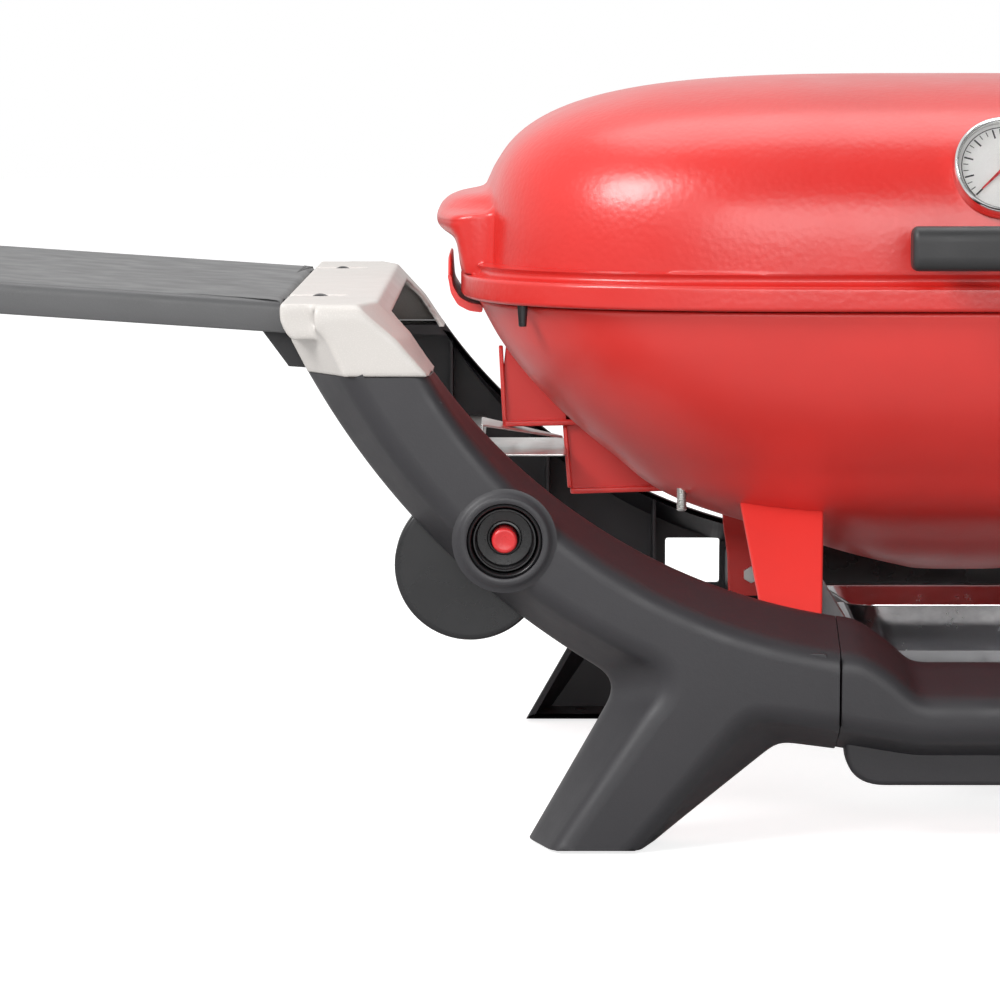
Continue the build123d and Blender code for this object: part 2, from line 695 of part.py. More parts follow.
save(control_knob.part, "control_knob")

with BuildPart() as knob_pointer:
    with BuildSketch(control_plane(KNOB_FRONT + 11)):
        with Locations((0, KNOB_R * 0.55)):
            RectangleRounded(2.2, 8, 1)
    extrude(amount=0.6)
save(knob_pointer.part, "knob_pointer")

# ======================================================================= side braces

# A bar joins the front and rear arm on each side. A flat tongue and a rising one
# reach from it to the cook box fins.
TONGUE_HALF_Y = 50.0
BAR_X = (283.0, 294.0)
with BuildPart() as side_brace:
    with BuildSketch(Plane.XY.offset(BRACE_Z)):
        with Locations((sum(BAR_X) / 2, 0)):
            Rectangle(BAR_X[1] - BAR_X[0], 2 * BRACE_Y)
        with Locations((259.5, 0)):
            Rectangle(49.6, 2 * TONGUE_HALF_Y)
    extrude(amount=SHEET)
    with BuildPart(mode=Mode.PRIVATE) as rising_tongue:
        with BuildSketch(Plane.XZ.offset(-TONGUE_HALF_Y / 2)):
            ring([
                (284, BRACE_Z), (285.2, BRACE_Z), (285.2, 216.8), (236, 207.4),
                (236, 206.2), (284, 215.4),
            ])
        extrude(amount=TONGUE_HALF_Y)
        with BuildSketch(Plane.XY.offset(BRACE_Z)):
            ring([(236, -3), (286, -25), (286, 25), (236, 3)])
        extrude(amount=20, mode=Mode.INTERSECT)
    add(rising_tongue.part)
save(side_brace.part, "side_brace_right")
save(mirrored(side_brace.part, Plane.YZ), "side_brace_left")

# ======================================================================= cook box

with BuildPart() as box_block:
    for height, half_x, half_y in BOX_LEVELS:
        with BuildSketch(Plane.XY.offset(height)):
            oval(half_x, half_y)
    loft()

with BuildPart() as box_hollow:
    for height, half_x, half_y in BOX_LEVELS:
        rise = CAST * ((BOX_TOP - height) / (BOX_TOP - BOX_FLOOR)) ** 2
        with BuildSketch(Plane.XY.offset(height + rise)):
            oval(half_x - CAST - 2, half_y - CAST - 2)
    loft()

# Webs that stiffen the ends, seen as stepped fins, each with a thicker foot.
FIN_UPPER = [(215, 250), (215, 216), (241, 218), (272, 215.5), (272.5, 262), (262, 290)]
FIN_LOWER = [(160, 215), (160, 177), (184, 177), (231, 175), (234.5, 214), (236, 240)]

with BuildPart() as box_fins:
    for side in (1, -1):
        for outline in (FIN_UPPER, FIN_LOWER):
            with BuildSketch(Plane.XZ.offset(-FIN_THICK / 2)):
                ring([(side * x, z) for x, z in outline])
            extrude(amount=FIN_THICK)
            foot_low = outline[1][1]
            with BuildSketch(Plane.XY.offset(foot_low - 0.5)):
                with Locations((side * (outline[2][0] + outline[3][0]) / 2, 0)):
                    Rectangle(outline[3][0] - outline[2][0], 14)
            extrude(amount=3)
    add(box_block.part, mode=Mode.SUBTRACT)
save(box_fins.part, "box_fins")

with BuildPart() as cook_box:
    add(box_block.part)
    add(box_hollow.part, mode=Mode.SUBTRACT)
    with BuildSketch(Plane.XY.offset(BOX_TOP - LEDGE_DROP)):
        oval(GRATE_HALF_X + 2, GRATE_HALF_Y + 2)
    extrude(amount=LEDGE_DROP, mode=Mode.SUBTRACT)
    # Grate ledge.
    with BuildSketch(Plane.XY.offset(BOX_TOP - LEDGE_DROP - 5)):
        oval(GRATE_HALF_X + 6, GRATE_HALF_Y + 6)
        oval(GRATE_HALF_X - 8, GRATE_HALF_Y - 8, mode=Mode.SUBTRACT)
    extrude(amount=5)
    # Scooped lip at each end.
    for side in (1, -1):
        with BuildSketch(Plane.XZ.offset(-LIP_Y)):
            ring([(side * x, z) for x, z in LIP])
        extrude(amount=2 * LIP_Y)
    # Drain, burner tube and electrode holes.
    with Locations((0, 0, BOX_FLOOR + 6)):
        Cylinder(DRAIN_R, 40, mode=Mode.SUBTRACT)
    with Locations(VENTURI_PLANE):
        Cylinder(VENTURI_R + 1.5, VENTURI_LENGTH, align=FROM_BASE, mode=Mode.SUBTRACT)
    with Locations((ELECTRODE_X, ELECTRODE_Y, 165)):
        Cylinder(ELECTRODE_R + 0.5, 90, mode=Mode.SUBTRACT)
save(cook_box.part, "cook_box")

# Four strap legs carry the cook box on the bosses in the arms.
with BuildPart() as box_leg:
    with BuildSketch(Plane.YZ.offset(LEG_X - 30)):
        ring([
            (-OPEN_Y - 2, 85), (-OPEN_Y + 2, 85), (-OPEN_Y + 2, 116), (-96, 190),
            (-101, 194), (-OPEN_Y + 0.4, 121), (-OPEN_Y - 2, 118),
        ])
    extrude(amount=60)
    with BuildSketch(Plane.XZ.offset(100)):
        ring([(LEG_X - 26, 160), (LEG_X - 19, 140), (LEG_X - 17, 80), (LEG_X + 15, 80),
              (LEG_X + 18, 140), (LEG_X + 27, 180), (LEG_X + 27, 200), (LEG_X - 26, 200)])
    extrude(amount=100, mode=Mode.INTERSECT)
    add(box_block.part, mode=Mode.SUBTRACT)
    with Locations(Plane((BOSS_X, -OPEN_Y, BOSS_Z), z_dir=(0, 1, 0))):
        Cylinder(LEG_BOLT_R, 30, mode=Mode.SUBTRACT)
with BuildPart() as box_legs:
    for planes in ([], [Plane.YZ], [Plane.XZ], [Plane.XZ, Plane.YZ]):
        add(mirrored(box_leg.part, *planes))
save(box_legs.part, "box_legs")

with BuildPart() as leg_bolts:
    for side in (1, -1):
        for end in (1, -1):
            with Locations(Plane((side * BOSS_X, end * (OPEN_Y - 2), BOSS_Z), z_dir=(0, end, 0))):
                Cylinder(LEG_BOLT_R, 26, align=FROM_BASE)
            with BuildSketch(Plane((side * BOSS_X, end * (OPEN_Y - 2), BOSS_Z), z_dir=(0, -end, 0))):
                RegularPolygon(5.5, 6)
            extrude(amount=4)
save(leg_bolts.part, "leg_bolts")

# ======================================================================= grates and burner

with BuildPart() as grate_slots:
    with BuildSketch(Plane.XY.offset(GRATE_Z)):
        for index in range(GRATE_SLOTS):
            with Locations((GRATE_RIM + GRATE_PITCH * (index + 0.5) + 2, 0)):
                Rectangle(GRATE_PITCH - GRATE_BAR, 2 * GRATE_HALF_Y)
        oval(GRATE_HALF_X - GRATE_RIM, GRATE_HALF_Y - GRATE_RIM, mode=Mode.INTERSECT)
        Rectangle(2 * GRATE_HALF_X, GRATE_RIM, mode=Mode.SUBTRACT)
    extrude(amount=GRATE_THICK)

with BuildPart() as grate:
    with BuildSketch(Plane.XY.offset(GRATE_Z)):
        oval(GRATE_HALF_X, GRATE_HALF_Y)
        with Locations((-GRATE_HALF_X + 0.75, 0)):
            Rectangle(2 * GRATE_HALF_X, 2 * GRATE_HALF_Y + 10, mode=Mode.SUBTRACT)
    extrude(amount=GRATE_THICK)
    add(grate_slots.part, mode=Mode.SUBTRACT)
save(grate.part, "grate_right")
save(mirrored(grate.part, Plane.YZ), "grate_left")

# Burner: a closed loop of tube, fed by a straight venturi tube from the valve.
with BuildPart() as burner:
    with BuildLine(Plane.XY.offset(BURNER_Z)) as loop:
        FilletPolyline(
            (BURNER_X, -BURNER_Y), (BURNER_X, BURNER_Y), (-BURNER_X, BURNER_Y), (-BURNER_X, -BURNER_Y),
            radius=BURNER_CORNER, close=True,
        )
    with BuildSketch(Plane(loop.line @ 0, z_dir=loop.line % 0)):
        Circle(BURNER_R)
    sweep()
    with Locations(VENTURI_PLANE):
        Cylinder(VENTURI_R, VENTURI_LENGTH, align=FROM_BASE)
    with Locations(VENTURI_PLANE.offset(BURNER_R + 4)):
        Cylinder(VENTURI_R - 1.2, VENTURI_LENGTH, align=FROM_BASE, mode=Mode.SUBTRACT)
save(burner.part, "burner")

with BuildPart() as electrode:
    with Locations((ELECTRODE_X, ELECTRODE_Y, 142)):
        Cylinder(ELECTRODE_R, 70, align=FROM_BASE)
    with Locations((ELECTRODE_X, ELECTRODE_Y, 132)):
        Cylinder(1.5, 90, align=FROM_BASE)
    with Locations(Plane((ELECTRODE_X, ELECTRODE_Y, 221.0), z_dir=(0, -1, 0.15))):
        Cylinder(1.2, 12, align=FROM_BASE)
save(electrode.part, "electrode")

with BuildPart() as box_studs:
    for x in (STUD_X, -STUD_X):
        for y in (STUD_Y, -STUD_Y):
            with Locations((x, y, 174)):
                Cylinder(3, 30, align=FROM_BASE)
    add(box_block.part, mode=Mode.SUBTRACT)
save(box_studs.part, "box_studs")

# Rigid gas pipe from the valve to the inlet at the rear, behind the right-hand window.
with BuildPart() as gas_pipe:
    with BuildLine() as route:
        FilletPolyline(
            (CONTROL_X, VALVE_Y + 6, CONTROL_Z - 10), (CONTROL_X, VALVE_Y + 6, 132), (246, -40, 118),
            (190, 110, INLET_Z), (INLET_X, 180, INLET_Z), (INLET_X, 222, INLET_Z), radius=16,
        )
    with BuildSketch(Plane(route.line @ 0, z_dir=route.line % 0)):
        Circle(PIPE_R - 0.1)
    sweep()
save(gas_pipe.part, "gas_pipe")

INLET_PLANE = Plane((INLET_X, 222, INLET_Z), x_dir=(1, 0, 0), z_dir=(0, 1, 0))
with BuildPart() as gas_inlet:
    with BuildSketch(INLET_PLANE):
        RegularPolygon(9.0, 6)
    extrude(amount=12)
    with BuildSketch(INLET_PLANE):
        Circle(7.0)
    extrude(amount=INLET_END_Y - 222)
    chamfer(gas_inlet.faces().sort_by(Axis.Y)[-1].edges(), 1.0)
    with BuildSketch(INLET_PLANE):
        Circle(2.5)
    extrude(amount=60, mode=Mode.SUBTRACT)
save(gas_inlet.part, "gas_inlet")

# ======================================================================= drip tray

with BuildPart() as tray_hanger:
    with BuildSketch(Plane.XZ.offset(-OPEN_Y + 1)):
        ring([
            (HOLDER_X - 10, HANGER_Z), (HANGER_X, HANGER_Z), (HANGER_X, 124), (HANGER_X - SHEET, 124),
            (HANGER_X - SHEET, HANGER_Z + SHEET), (HOLDER_X - 10, HANGER_Z + SHEET),
        ])
    extrude(amount=2 * OPEN_Y - 2)
    with BuildSketch(Plane.XZ.offset(OPEN_Y - 1)):
        with Locations((76, 104)):
            Rectangle(20, 24)
    extrude(amount=-SHEET)
    with BuildSketch(Plane.XZ.offset(-OPEN_Y + 1)):
        with Locations((84, 104)):
            Rectangle(4, 24)
    extrude(amount=SHEET)
    # Front gusset.
    with BuildSketch(Plane.XZ.offset(HOLDER_Y + 3)):
        ring([(62, HANGER_Z), (HANGER_X, HANGER_Z), (HANGER_X, 124), (77, 124)])
    extrude(amount=SHEET)
with BuildPart() as tray_hangers:
    add(tray_hanger.part)
    add(mirrored(tray_hanger.part, Plane.YZ))
save(tray_hangers.part, "tray_hangers")

FLOOR_Z = 72.0
WELL_X = 67.0
PANEL_X = 77.0
PANEL_Y = 162.0
PANEL_THICK = 4.0
PANEL_LOW = 70.0
PANEL_TOP = 121.0
with BuildPart() as tray_holder:
    with BuildSketch(Plane.XY.offset(FLOOR_Z)):
        RectangleRounded(2 * (WELL_X + SHEET), 2 * HOLDER_Y, 10)
    extrude(amount=HOLDER_Z - FLOOR_Z)
    with BuildSketch(Plane.XY.offset(HOLDER_Z)):
        RectangleRounded(2 * HOLDER_X, 2 * HOLDER_Y, 4)
    extrude(amount=SHEET)
    with BuildSketch(Plane.XY.offset(FLOOR_Z + SHEET)):
        RectangleRounded(2 * WELL_X, 2 * HOLDER_Y - 2 * SHEET, 9)
    extrude(amount=30, mode=Mode.SUBTRACT)
    # Shelf that carries the rear panel.
    with BuildSketch(Plane.XY.offset(HOLDER_Z)):
        with Locations((0, (HOLDER_Y + PANEL_Y) / 2 - 3)):
            Rectangle(2 * PANEL_X - 8, PANEL_Y - HOLDER_Y + 6)
    extrude(amount=SHEET)
save(tray_holder.part, "tray_holder")

# The panel closes the dip in the rear rail; the scoop in its top edge is the tray's pull.
with BuildPart() as tray_panel:
    with BuildSketch(Plane.XZ.offset(-PANEL_Y - PANEL_THICK)):
        with Locations((0, (HOLDER_Z + PANEL_TOP) / 2)):
            RectangleRounded(2 * PANEL_X, PANEL_TOP - HOLDER_Z, 5)
        with Locations((0, (PANEL_LOW + HOLDER_Z + 8) / 2)):
            RectangleRounded(2 * WELL_X - 4, HOLDER_Z + 8 - PANEL_LOW, 5)
        with Locations((0, PANEL_TOP)):
            RectangleRounded(56, 24, 8, mode=Mode.SUBTRACT)
    extrude(amount=PANEL_THICK)
save(tray_panel.part, "tray_panel")

# The foil tray's rim rises towards the front.
FOIL_RISE = 5.0           # degrees
FOIL_FLOOR = Plane.XY.offset(FLOOR_Z + 2)
FOIL_RIM = Plane(
    (0, 0, 111.4),
    x_dir=(1, 0, 0),
    z_dir=(0, sin(radians(FOIL_RISE)), cos(radians(FOIL_RISE))),
)
with BuildPart() as foil_tray:
    for plane, length, width in ((FOIL_FLOOR, 108, 184), (FOIL_RIM, 2 * FOIL_X, 212)):
        with BuildSketch(plane):
            RectangleRounded(length, width, 16)
    loft(ruled=True)
    with BuildSketch(FOIL_RIM.offset(-1.2)):
        RectangleRounded(2 * FOIL_X + 6, 218, 18)
    extrude(amount=1.2)
    for plane, length, width in ((FOIL_FLOOR.offset(0.8), 106, 182), (FOIL_RIM.offset(0.01), 138, 210)):
        with BuildSketch(plane):
            RectangleRounded(length, width, 15)
    loft(ruled=True, mode=Mode.SUBTRACT)
save(foil_tray.part, "foil_tray")

# ======================================================================= lid


def dome(distance, drop):
    """Levels of the dome: height, half width and half depth, moved in and lowered."""
    levels = []
    for t in DOME_LEVELS:
        narrow = (1.0 - t ** DOME_POWER) ** (1.0 / DOME_POWER)
        height = GROOVE_TOP + t * (LID_TOP - drop - GROOVE_TOP)
        half_x = (LID_HALF_X - DOME_STEP) * narrow - distance
        half_y = (LID_HALF_Y - 3.0) * narrow - distance
        levels.append((height, half_x, half_y))
    return levels


HOOD_HALF_Y = 100.0
HOOD = [
    (262, 304), (296, 304), (298, 313), (299.5, 324), (305, 332), (313, 334.5), (316, 341), (311, 350),
    (299, 355), (284, 357), (262, 360),
]

with BuildPart() as lid_dome:
    for height, half_x, half_y in dome(0.0, 0.0):
        with BuildSketch(Plane.XY.offset(height)):
            oval(half_x, half_y)
    loft()

with BuildPart() as lid_hollow:
    for height, half_x, half_y in dome(CAST, CAST):
        with BuildSketch(Plane.XY.offset(height)):
            oval(half_x, half_y)
    loft()

with BuildPart() as lid:
    add(lid_dome.part)
    with BuildSketch(Plane.XY.offset(LID_BOTTOM)):
        oval(LID_HALF_X, LID_HALF_Y)
    extrude(amount=BAND_TOP - LID_BOTTOM)
    with BuildSketch(Plane.XY.offset(BAND_TOP)):
        oval(LID_HALF_X - GROOVE_DEEP, LID_HALF_Y - GROOVE_DEEP)
    extrude(amount=GROOVE_TOP - BAND_TOP)
    for side in (1, -1):
        with BuildSketch(Plane.XZ.offset(-HOOD_HALF_Y)):
            ring([(side * x, z) for x, z in HOOD])
        extrude(amount=2 * HOOD_HALF_Y)
    add(lid_hollow.part, mode=Mode.SUBTRACT)
    with BuildSketch(Plane.XY.offset(LID_BOTTOM)):
        oval(LID_HALF_X - 14, LID_HALF_Y - 14)
    extrude(amount=GROOVE_TOP + 1 - LID_BOTTOM, mode=Mode.SUBTRACT)
    with Locations(GAUGE_PLANE):
        Cylinder(4.3, 40, mode=Mode.SUBTRACT)
save(lid.part, "lid")

PEG_X = 261.0
PEG_Y = 153.5
with BuildPart() as lid_pegs:
    for x in (PEG_X, -PEG_X):
        for y in (PEG_Y, -PEG_Y):
            with Locations((x, y, LID_BOTTOM)):
                Cone(2.2, 3.0, 12, align=TO_TOP)
save(lid_pegs.part, "lid_pegs")

with BuildPart() as lid_lugs:
    for x in LID_HINGE_X:
        with BuildSketch(Plane.YZ.offset(x - LID_LUG / 2)):
            ring([
                (206, 299), (214, 298.5), (225, 287), (LID_HINGE_Y, LID_HINGE_Z - 7, "arc"), (239, 289),
                (234, 300), (217, 317), (206, 317),
            ])
            with Locations((LID_HINGE_Y, LID_HINGE_Z)):
                Circle(LID_PIN_R + RUNNING, mode=Mode.SUBTRACT)
        extrude(amount=LID_LUG)
    with BuildSketch(Plane.XY.offset(LID_BOTTOM)):
        oval(LID_HALF_X, LID_HALF_Y)
    extrude(amount=BAND_TOP - LID_BOTTOM, mode=Mode.SUBTRACT)
    with BuildSketch(Plane.XY.offset(BAND_TOP)):
        oval(LID_HALF_X - GROOVE_DEEP, LID_HALF_Y - GROOVE_DEEP)
    extrude(amount=GROOVE_TOP + 1 - BAND_TOP, mode=Mode.SUBTRACT)
    add(lid_dome.part, mode=Mode.SUBTRACT)
save(lid_lugs.part, "lid_lugs")

with BuildPart() as hinge_brackets:
    for x in LID_HINGE_X:
        for side in (1, -1):
            with BuildSketch(Plane.YZ.offset(x + side * (LID_LUG / 2 + 5.5) - 4)):
                ring([
                    (196, 268), (210, 272), (LID_HINGE_Y, LID_HINGE_Z - 6.5),
                    (LID_HINGE_Y + 6.5, LID_HINGE_Z, "arc"), (LID_HINGE_Y, LID_HINGE_Z + 6.5),
                    (214, 293), (200, 293),
                ])
                with Locations((LID_HINGE_Y, LID_HINGE_Z)):
                    Circle(LID_PIN_R, mode=Mode.SUBTRACT)
            extrude(amount=8)
    add(box_block.part, mode=Mode.SUBTRACT)
save(hinge_brackets.part, "hinge_brackets")

with BuildPart() as hinge_pins:
    for x in LID_HINGE_X:
        with Locations(Plane((x, LID_HINGE_Y, LID_HINGE_Z), z_dir=(1, 0, 0))):
            Cylinder(LID_PIN_R, LID_LUG + 22)
save(hinge_pins.part, "hinge_pins")

POST_X = 40.0
BAR_BACK_Y = HANDLE_FRONT_Y + 17.0
with BuildPart() as handle_posts:
    for x in (POST_X, -POST_X):
        with Locations(Plane((x, BAR_BACK_Y + 1, HANDLE_Z), z_dir=(0, 1, 0))):
            Cone(6.5, 10.0, -BAR_BACK_Y - 200, align=FROM_BASE)
    add(lid_dome.part, mode=Mode.SUBTRACT)
save(handle_posts.part, "handle_posts")

with BuildPart() as lid_handle:
    with BuildSketch(Plane.YZ.offset(-HANDLE_X)):
        with Locations((HANDLE_FRONT_Y + 9, HANDLE_Z)):
            RectangleRounded(18, 24, 7.5)
    extrude(amount=2 * HANDLE_X)
    fillet(lid_handle.faces().sort_by(Axis.X)[0].edges(), 3)
    fillet(lid_handle.faces().sort_by(Axis.X)[-1].edges(), 3)
    add(handle_posts.part, mode=Mode.SUBTRACT)
save(lid_handle.part, "lid_handle")

# Lid thermometer.
with BuildPart() as gauge_stem:
    with Locations(GAUGE_PLANE):
        Cylinder(4.0, 46, align=TO_TOP)
save(gauge_stem.part, "gauge_stem")

with BuildPart() as gauge_bezel:
    with BuildSketch(GAUGE_PLANE):
        Circle(GAUGE_R)
    extrude(amount=11)
    chamfer(gauge_bezel.edges().sort_by(Axis.Y)[0], 1.5)
    with BuildSketch(GAUGE_PLANE.offset(4)):
        Circle(GAUGE_R - 2.5)
    extrude(amount=10, mode=Mode.SUBTRACT)
    add(lid_dome.part, mode=Mode.SUBTRACT)
save(gauge_bezel.part, "gauge_bezel")

with BuildPart() as gauge_dial:
    with BuildSketch(GAUGE_PLANE.offset(4)):
        Circle(GAUGE_R - 2.6)
    extrude(amount=0.8)
save(gauge_dial.part, "gauge_dial")

# At rest the needle points down to the left, at the cold end of its scale.
needle_place = Location((0, 0, 5.4), (0, 0, NEEDLE_REST))
with BuildPart() as gauge_needle:
    with BuildSketch(Plane(GAUGE_PLANE.location * needle_place)):
        ring([(-1.0, -6), (1.0, -6), (0.4, 18), (-0.4, 18)])
        Circle(2.2)
    extrude(amount=0.8)
save(gauge_needle.part, "gauge_needle")

with BuildPart() as gauge_glass:
    with BuildSketch(GAUGE_PLANE.offset(8.5)):
        Circle(GAUGE_R - 2.6)
    extrude(amount=1.5)
save(gauge_glass.part, "gauge_glass")
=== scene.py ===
import json
import math

import bmesh
import bpy
import numpy as np
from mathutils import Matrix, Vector


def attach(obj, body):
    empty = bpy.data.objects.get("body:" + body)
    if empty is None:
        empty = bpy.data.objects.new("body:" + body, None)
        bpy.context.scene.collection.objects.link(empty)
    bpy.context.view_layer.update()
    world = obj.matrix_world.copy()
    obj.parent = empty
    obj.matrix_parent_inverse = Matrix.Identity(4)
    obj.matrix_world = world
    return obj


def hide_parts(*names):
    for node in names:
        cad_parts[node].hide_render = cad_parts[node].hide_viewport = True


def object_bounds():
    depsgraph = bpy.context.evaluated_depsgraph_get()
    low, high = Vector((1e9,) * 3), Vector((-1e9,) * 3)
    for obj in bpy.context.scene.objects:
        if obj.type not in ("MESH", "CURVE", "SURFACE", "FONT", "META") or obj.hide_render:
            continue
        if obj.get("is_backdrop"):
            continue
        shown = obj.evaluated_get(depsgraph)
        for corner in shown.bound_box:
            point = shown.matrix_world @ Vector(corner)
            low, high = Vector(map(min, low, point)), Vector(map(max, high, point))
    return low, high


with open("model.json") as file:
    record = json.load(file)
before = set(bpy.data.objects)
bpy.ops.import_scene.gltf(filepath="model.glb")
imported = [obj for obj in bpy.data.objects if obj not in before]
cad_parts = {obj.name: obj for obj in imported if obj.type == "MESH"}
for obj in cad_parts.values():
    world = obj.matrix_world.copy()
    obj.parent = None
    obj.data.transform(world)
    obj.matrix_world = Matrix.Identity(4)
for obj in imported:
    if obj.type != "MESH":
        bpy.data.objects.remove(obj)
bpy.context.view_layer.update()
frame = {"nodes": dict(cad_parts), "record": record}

NODES = frame["nodes"]
MM = 0.001


# ---- materials

class Nodes:
    """A short way to write a material's node tree."""

    def __init__(self, name):
        self.material = bpy.data.materials.new(name)
        self.material.use_nodes = True
        self.tree = self.material.node_tree
        self.shader = self.tree.nodes["Principled BSDF"]
        self.coordinates = self.add("ShaderNodeTexCoord").outputs["Object"]

    def add(self, kind, **settings):
        node = self.tree.nodes.new(kind)
        for key, value in settings.items():
            setattr(node, key, value)
        return node

    def link(self, output, node, socket):
        self.tree.links.new(output, node.inputs[socket])

    def stretched(self, scale):
        node = self.add("ShaderNodeMapping")
        node.inputs["Scale"].default_value = scale
        self.link(self.coordinates, node, "Vector")
        return node.outputs["Vector"]

    def preset(self, node, **sockets):
        for key, value in sockets.items():
            node.inputs[key.replace("_", " ")].default_value = value
        return node

    def noise(self, scale, detail=3.0, rough=0.5, stretch=None):
        node = self.preset(self.add("ShaderNodeTexNoise"), Scale=scale, Detail=detail, Roughness=rough)
        self.link(self.stretched(stretch) if stretch else self.coordinates, node, "Vector")
        return node.outputs["Fac"]

    def cells(self, scale, smooth=0.6):
        node = self.preset(self.add("ShaderNodeTexVoronoi", feature="SMOOTH_F1"), Scale=scale,
                           Smoothness=smooth)
        self.link(self.coordinates, node, "Vector")
        return node.outputs["Distance"]

    def spread(self, value, low, high, from_low=0.3, from_high=0.7):
        node = self.preset(self.add("ShaderNodeMapRange"), From_Min=from_low, From_Max=from_high,
                           To_Min=low, To_Max=high)
        self.link(value, node, "Value")
        return node.outputs["Result"]

    def mix(self, factor, first, second):
        node = self.add("ShaderNodeMix", data_type="RGBA")
        self.link(factor, node, "Factor")
        for socket, value in ((6, first), (7, second)):
            if isinstance(value, (tuple, list)):
                node.inputs[socket].default_value = (*value[:3], 1.0)
            else:
                self.tree.links.new(value, node.inputs[socket])
        return node.outputs[2]

    def bump(self, layers):
        """Bump from (height output, strength, distance in metres) layers."""
        normal = None
        for height, strength, distance in layers:
            node = self.add("ShaderNodeBump")
            node.inputs["Strength"].default_value = strength
            node.inputs["Distance"].default_value = distance
            self.link(height, node, "Height")
            if normal is not None:
                self.link(normal, node, "Normal")
            normal = node.outputs["Normal"]
        self.link(normal, self.shader, "Normal")

    def set(self, **sockets):
        self.preset(self.shader, **sockets)


MATERIALS = {}


def shade(colour, factor):
    return tuple(min(1.0, c * factor) for c in colour)


def plastic(slot, colour, rough, grain=900.0, depth=0.00006, specular=0.5, drift=0.1, streak=None):
    """Moulded plastic: fine spark-eroded grain, slow tone drift and a few pale specks."""
    n = Nodes(slot)
    tone = n.noise(9.0, 3.0, 0.6)
    base = n.mix(n.spread(tone, 0.0, 1.0), shade(colour, 1 - drift), shade(colour, 1 + drift))
    speck = n.spread(n.noise(1400.0, 2.0), 0.0, 0.25, 0.52, 0.75)
    base = n.mix(speck, base, shade(colour, 1.5))
    n.link(base, n.shader, "Base Color")
    n.link(n.spread(n.noise(45.0, 4.0), rough - 0.05, rough + 0.06), n.shader, "Roughness")
    n.set(Specular_IOR_Level=specular)
    layers = [(n.noise(grain, 2.0, 0.6), 0.5, depth), (n.cells(grain * 0.6), 0.35, depth)]
    if streak:
        layers.append((n.noise(60.0, 4.0, 0.7, streak), 0.3, depth))
    n.bump(layers)
    MATERIALS[slot] = n.material


def enamel(slot, colour, rough, peel, peel_depth, coat):
    """Stoved enamel on a casting: orange-peel texture, a clear coat and faint mottling."""
    n = Nodes(slot)
    tone = n.noise(7.0, 4.0, 0.55)
    base = n.mix(n.spread(tone, 0.0, 1.0), shade(colour, 0.92), shade(colour, 1.07))
    n.link(base, n.shader, "Base Color")
    n.link(n.spread(n.noise(30.0, 3.0), rough - 0.03, rough + 0.04), n.shader, "Roughness")
    n.set(Specular_IOR_Level=0.5, Coat_Weight=coat, Coat_Roughness=rough * 0.75)
    swell = n.noise(24.0, 2.0)
    n.bump([(swell, 0.12, 0.0006), (n.cells(peel, 0.8), 0.5, peel_depth),
            (n.noise(peel * 1.7, 3.0, 0.6), 0.4, peel_depth * 0.6)])
    MATERIALS[slot] = n.material


def metal(slot, colour, rough, stretch=(1, 1, 1), scratch=0.0, spangle=0.0, depth=0.00003, tint=None):
    """Bare or plated metal with brushing, scratches and a drifting tone."""
    n = Nodes(slot)
    tone = n.noise(14.0, 4.0, 0.6)
    base = n.mix(n.spread(tone, 0.0, 1.0), shade(colour, 0.84), shade(colour, 1.08))
    if spangle:
        crystal = n.add("ShaderNodeTexVoronoi")
        crystal.inputs["Scale"].default_value = spangle
        n.link(n.coordinates, crystal, "Vector")
        grey = n.add("ShaderNodeSeparateColor")
        n.link(crystal.outputs["Color"], grey, "Color")
        base = n.mix(n.spread(grey.outputs[0], 0.0, 0.35, 0.0, 1.0), base, shade(colour, 0.7))
    if tint:
        base = n.mix(n.spread(n.noise(18.0, 2.0), 0.0, 0.8, 0.45, 0.7), base, tint)
    n.link(base, n.shader, "Base Color")
    n.link(n.spread(n.noise(60.0, 5.0, 0.7, stretch), rough - 0.08, rough + 0.1), n.shader, "Roughness")
    n.set(Metallic=1.0)
    layers = [(n.noise(500.0, 4.0, 0.7, stretch), 0.35, depth)]
    if scratch:
        layers.append((n.noise(160.0, 6.0, 0.8, stretch), scratch, depth * 3))
    n.bump(layers)
    MATERIALS[slot] = n.material


plastic("frame_charcoal", (0.021, 0.020, 0.023), 0.46)
plastic("yoke_cream", (0.50, 0.475, 0.45), 0.42, drift=0.03)
plastic("table_grey", (0.066, 0.066, 0.068), 0.4, streak=(0.3, 14, 1))
plastic("black_plastic", (0.012, 0.012, 0.013), 0.28, depth=0.00003)
plastic("handle_black", (0.016, 0.016, 0.017), 0.5)
plastic("pad_rubber", (0.014, 0.014, 0.014), 0.75)
plastic("button_red", (0.52, 0.02, 0.022), 0.25, grain=400, depth=0.00001, drift=0.04)
plastic("pointer_white", (0.75, 0.75, 0.73), 0.35, drift=0.03)
plastic("ceramic", (0.78, 0.76, 0.71), 0.2, grain=200, depth=0.00002, drift=0.04)
plastic("gauge_face", (0.8, 0.79, 0.77), 0.4, drift=0.02)
enamel("lid_red", (0.52, 0.015, 0.011), 0.32, 300.0, 0.00026, 0.3)
enamel("box_red", (0.64, 0.034, 0.028), 0.36, 520.0, 0.00005, 0.2)
metal("zinc_steel", (0.72, 0.72, 0.7), 0.34, (1, 0.1, 1), 0.2, spangle=160.0)
metal("tray_steel", (0.36, 0.36, 0.37), 0.42, (1, 0.2, 1), 0.2)
metal("burner_steel", (0.5, 0.47, 0.44), 0.38, (1, 1, 1), 0.2, tint=(0.34, 0.2, 0.12))
metal("foil", (0.86, 0.86, 0.87), 0.2, (1, 1, 1), 0.1)
metal("brass", (0.72, 0.5, 0.2), 0.3, (1, 0.2, 1), 0.2)
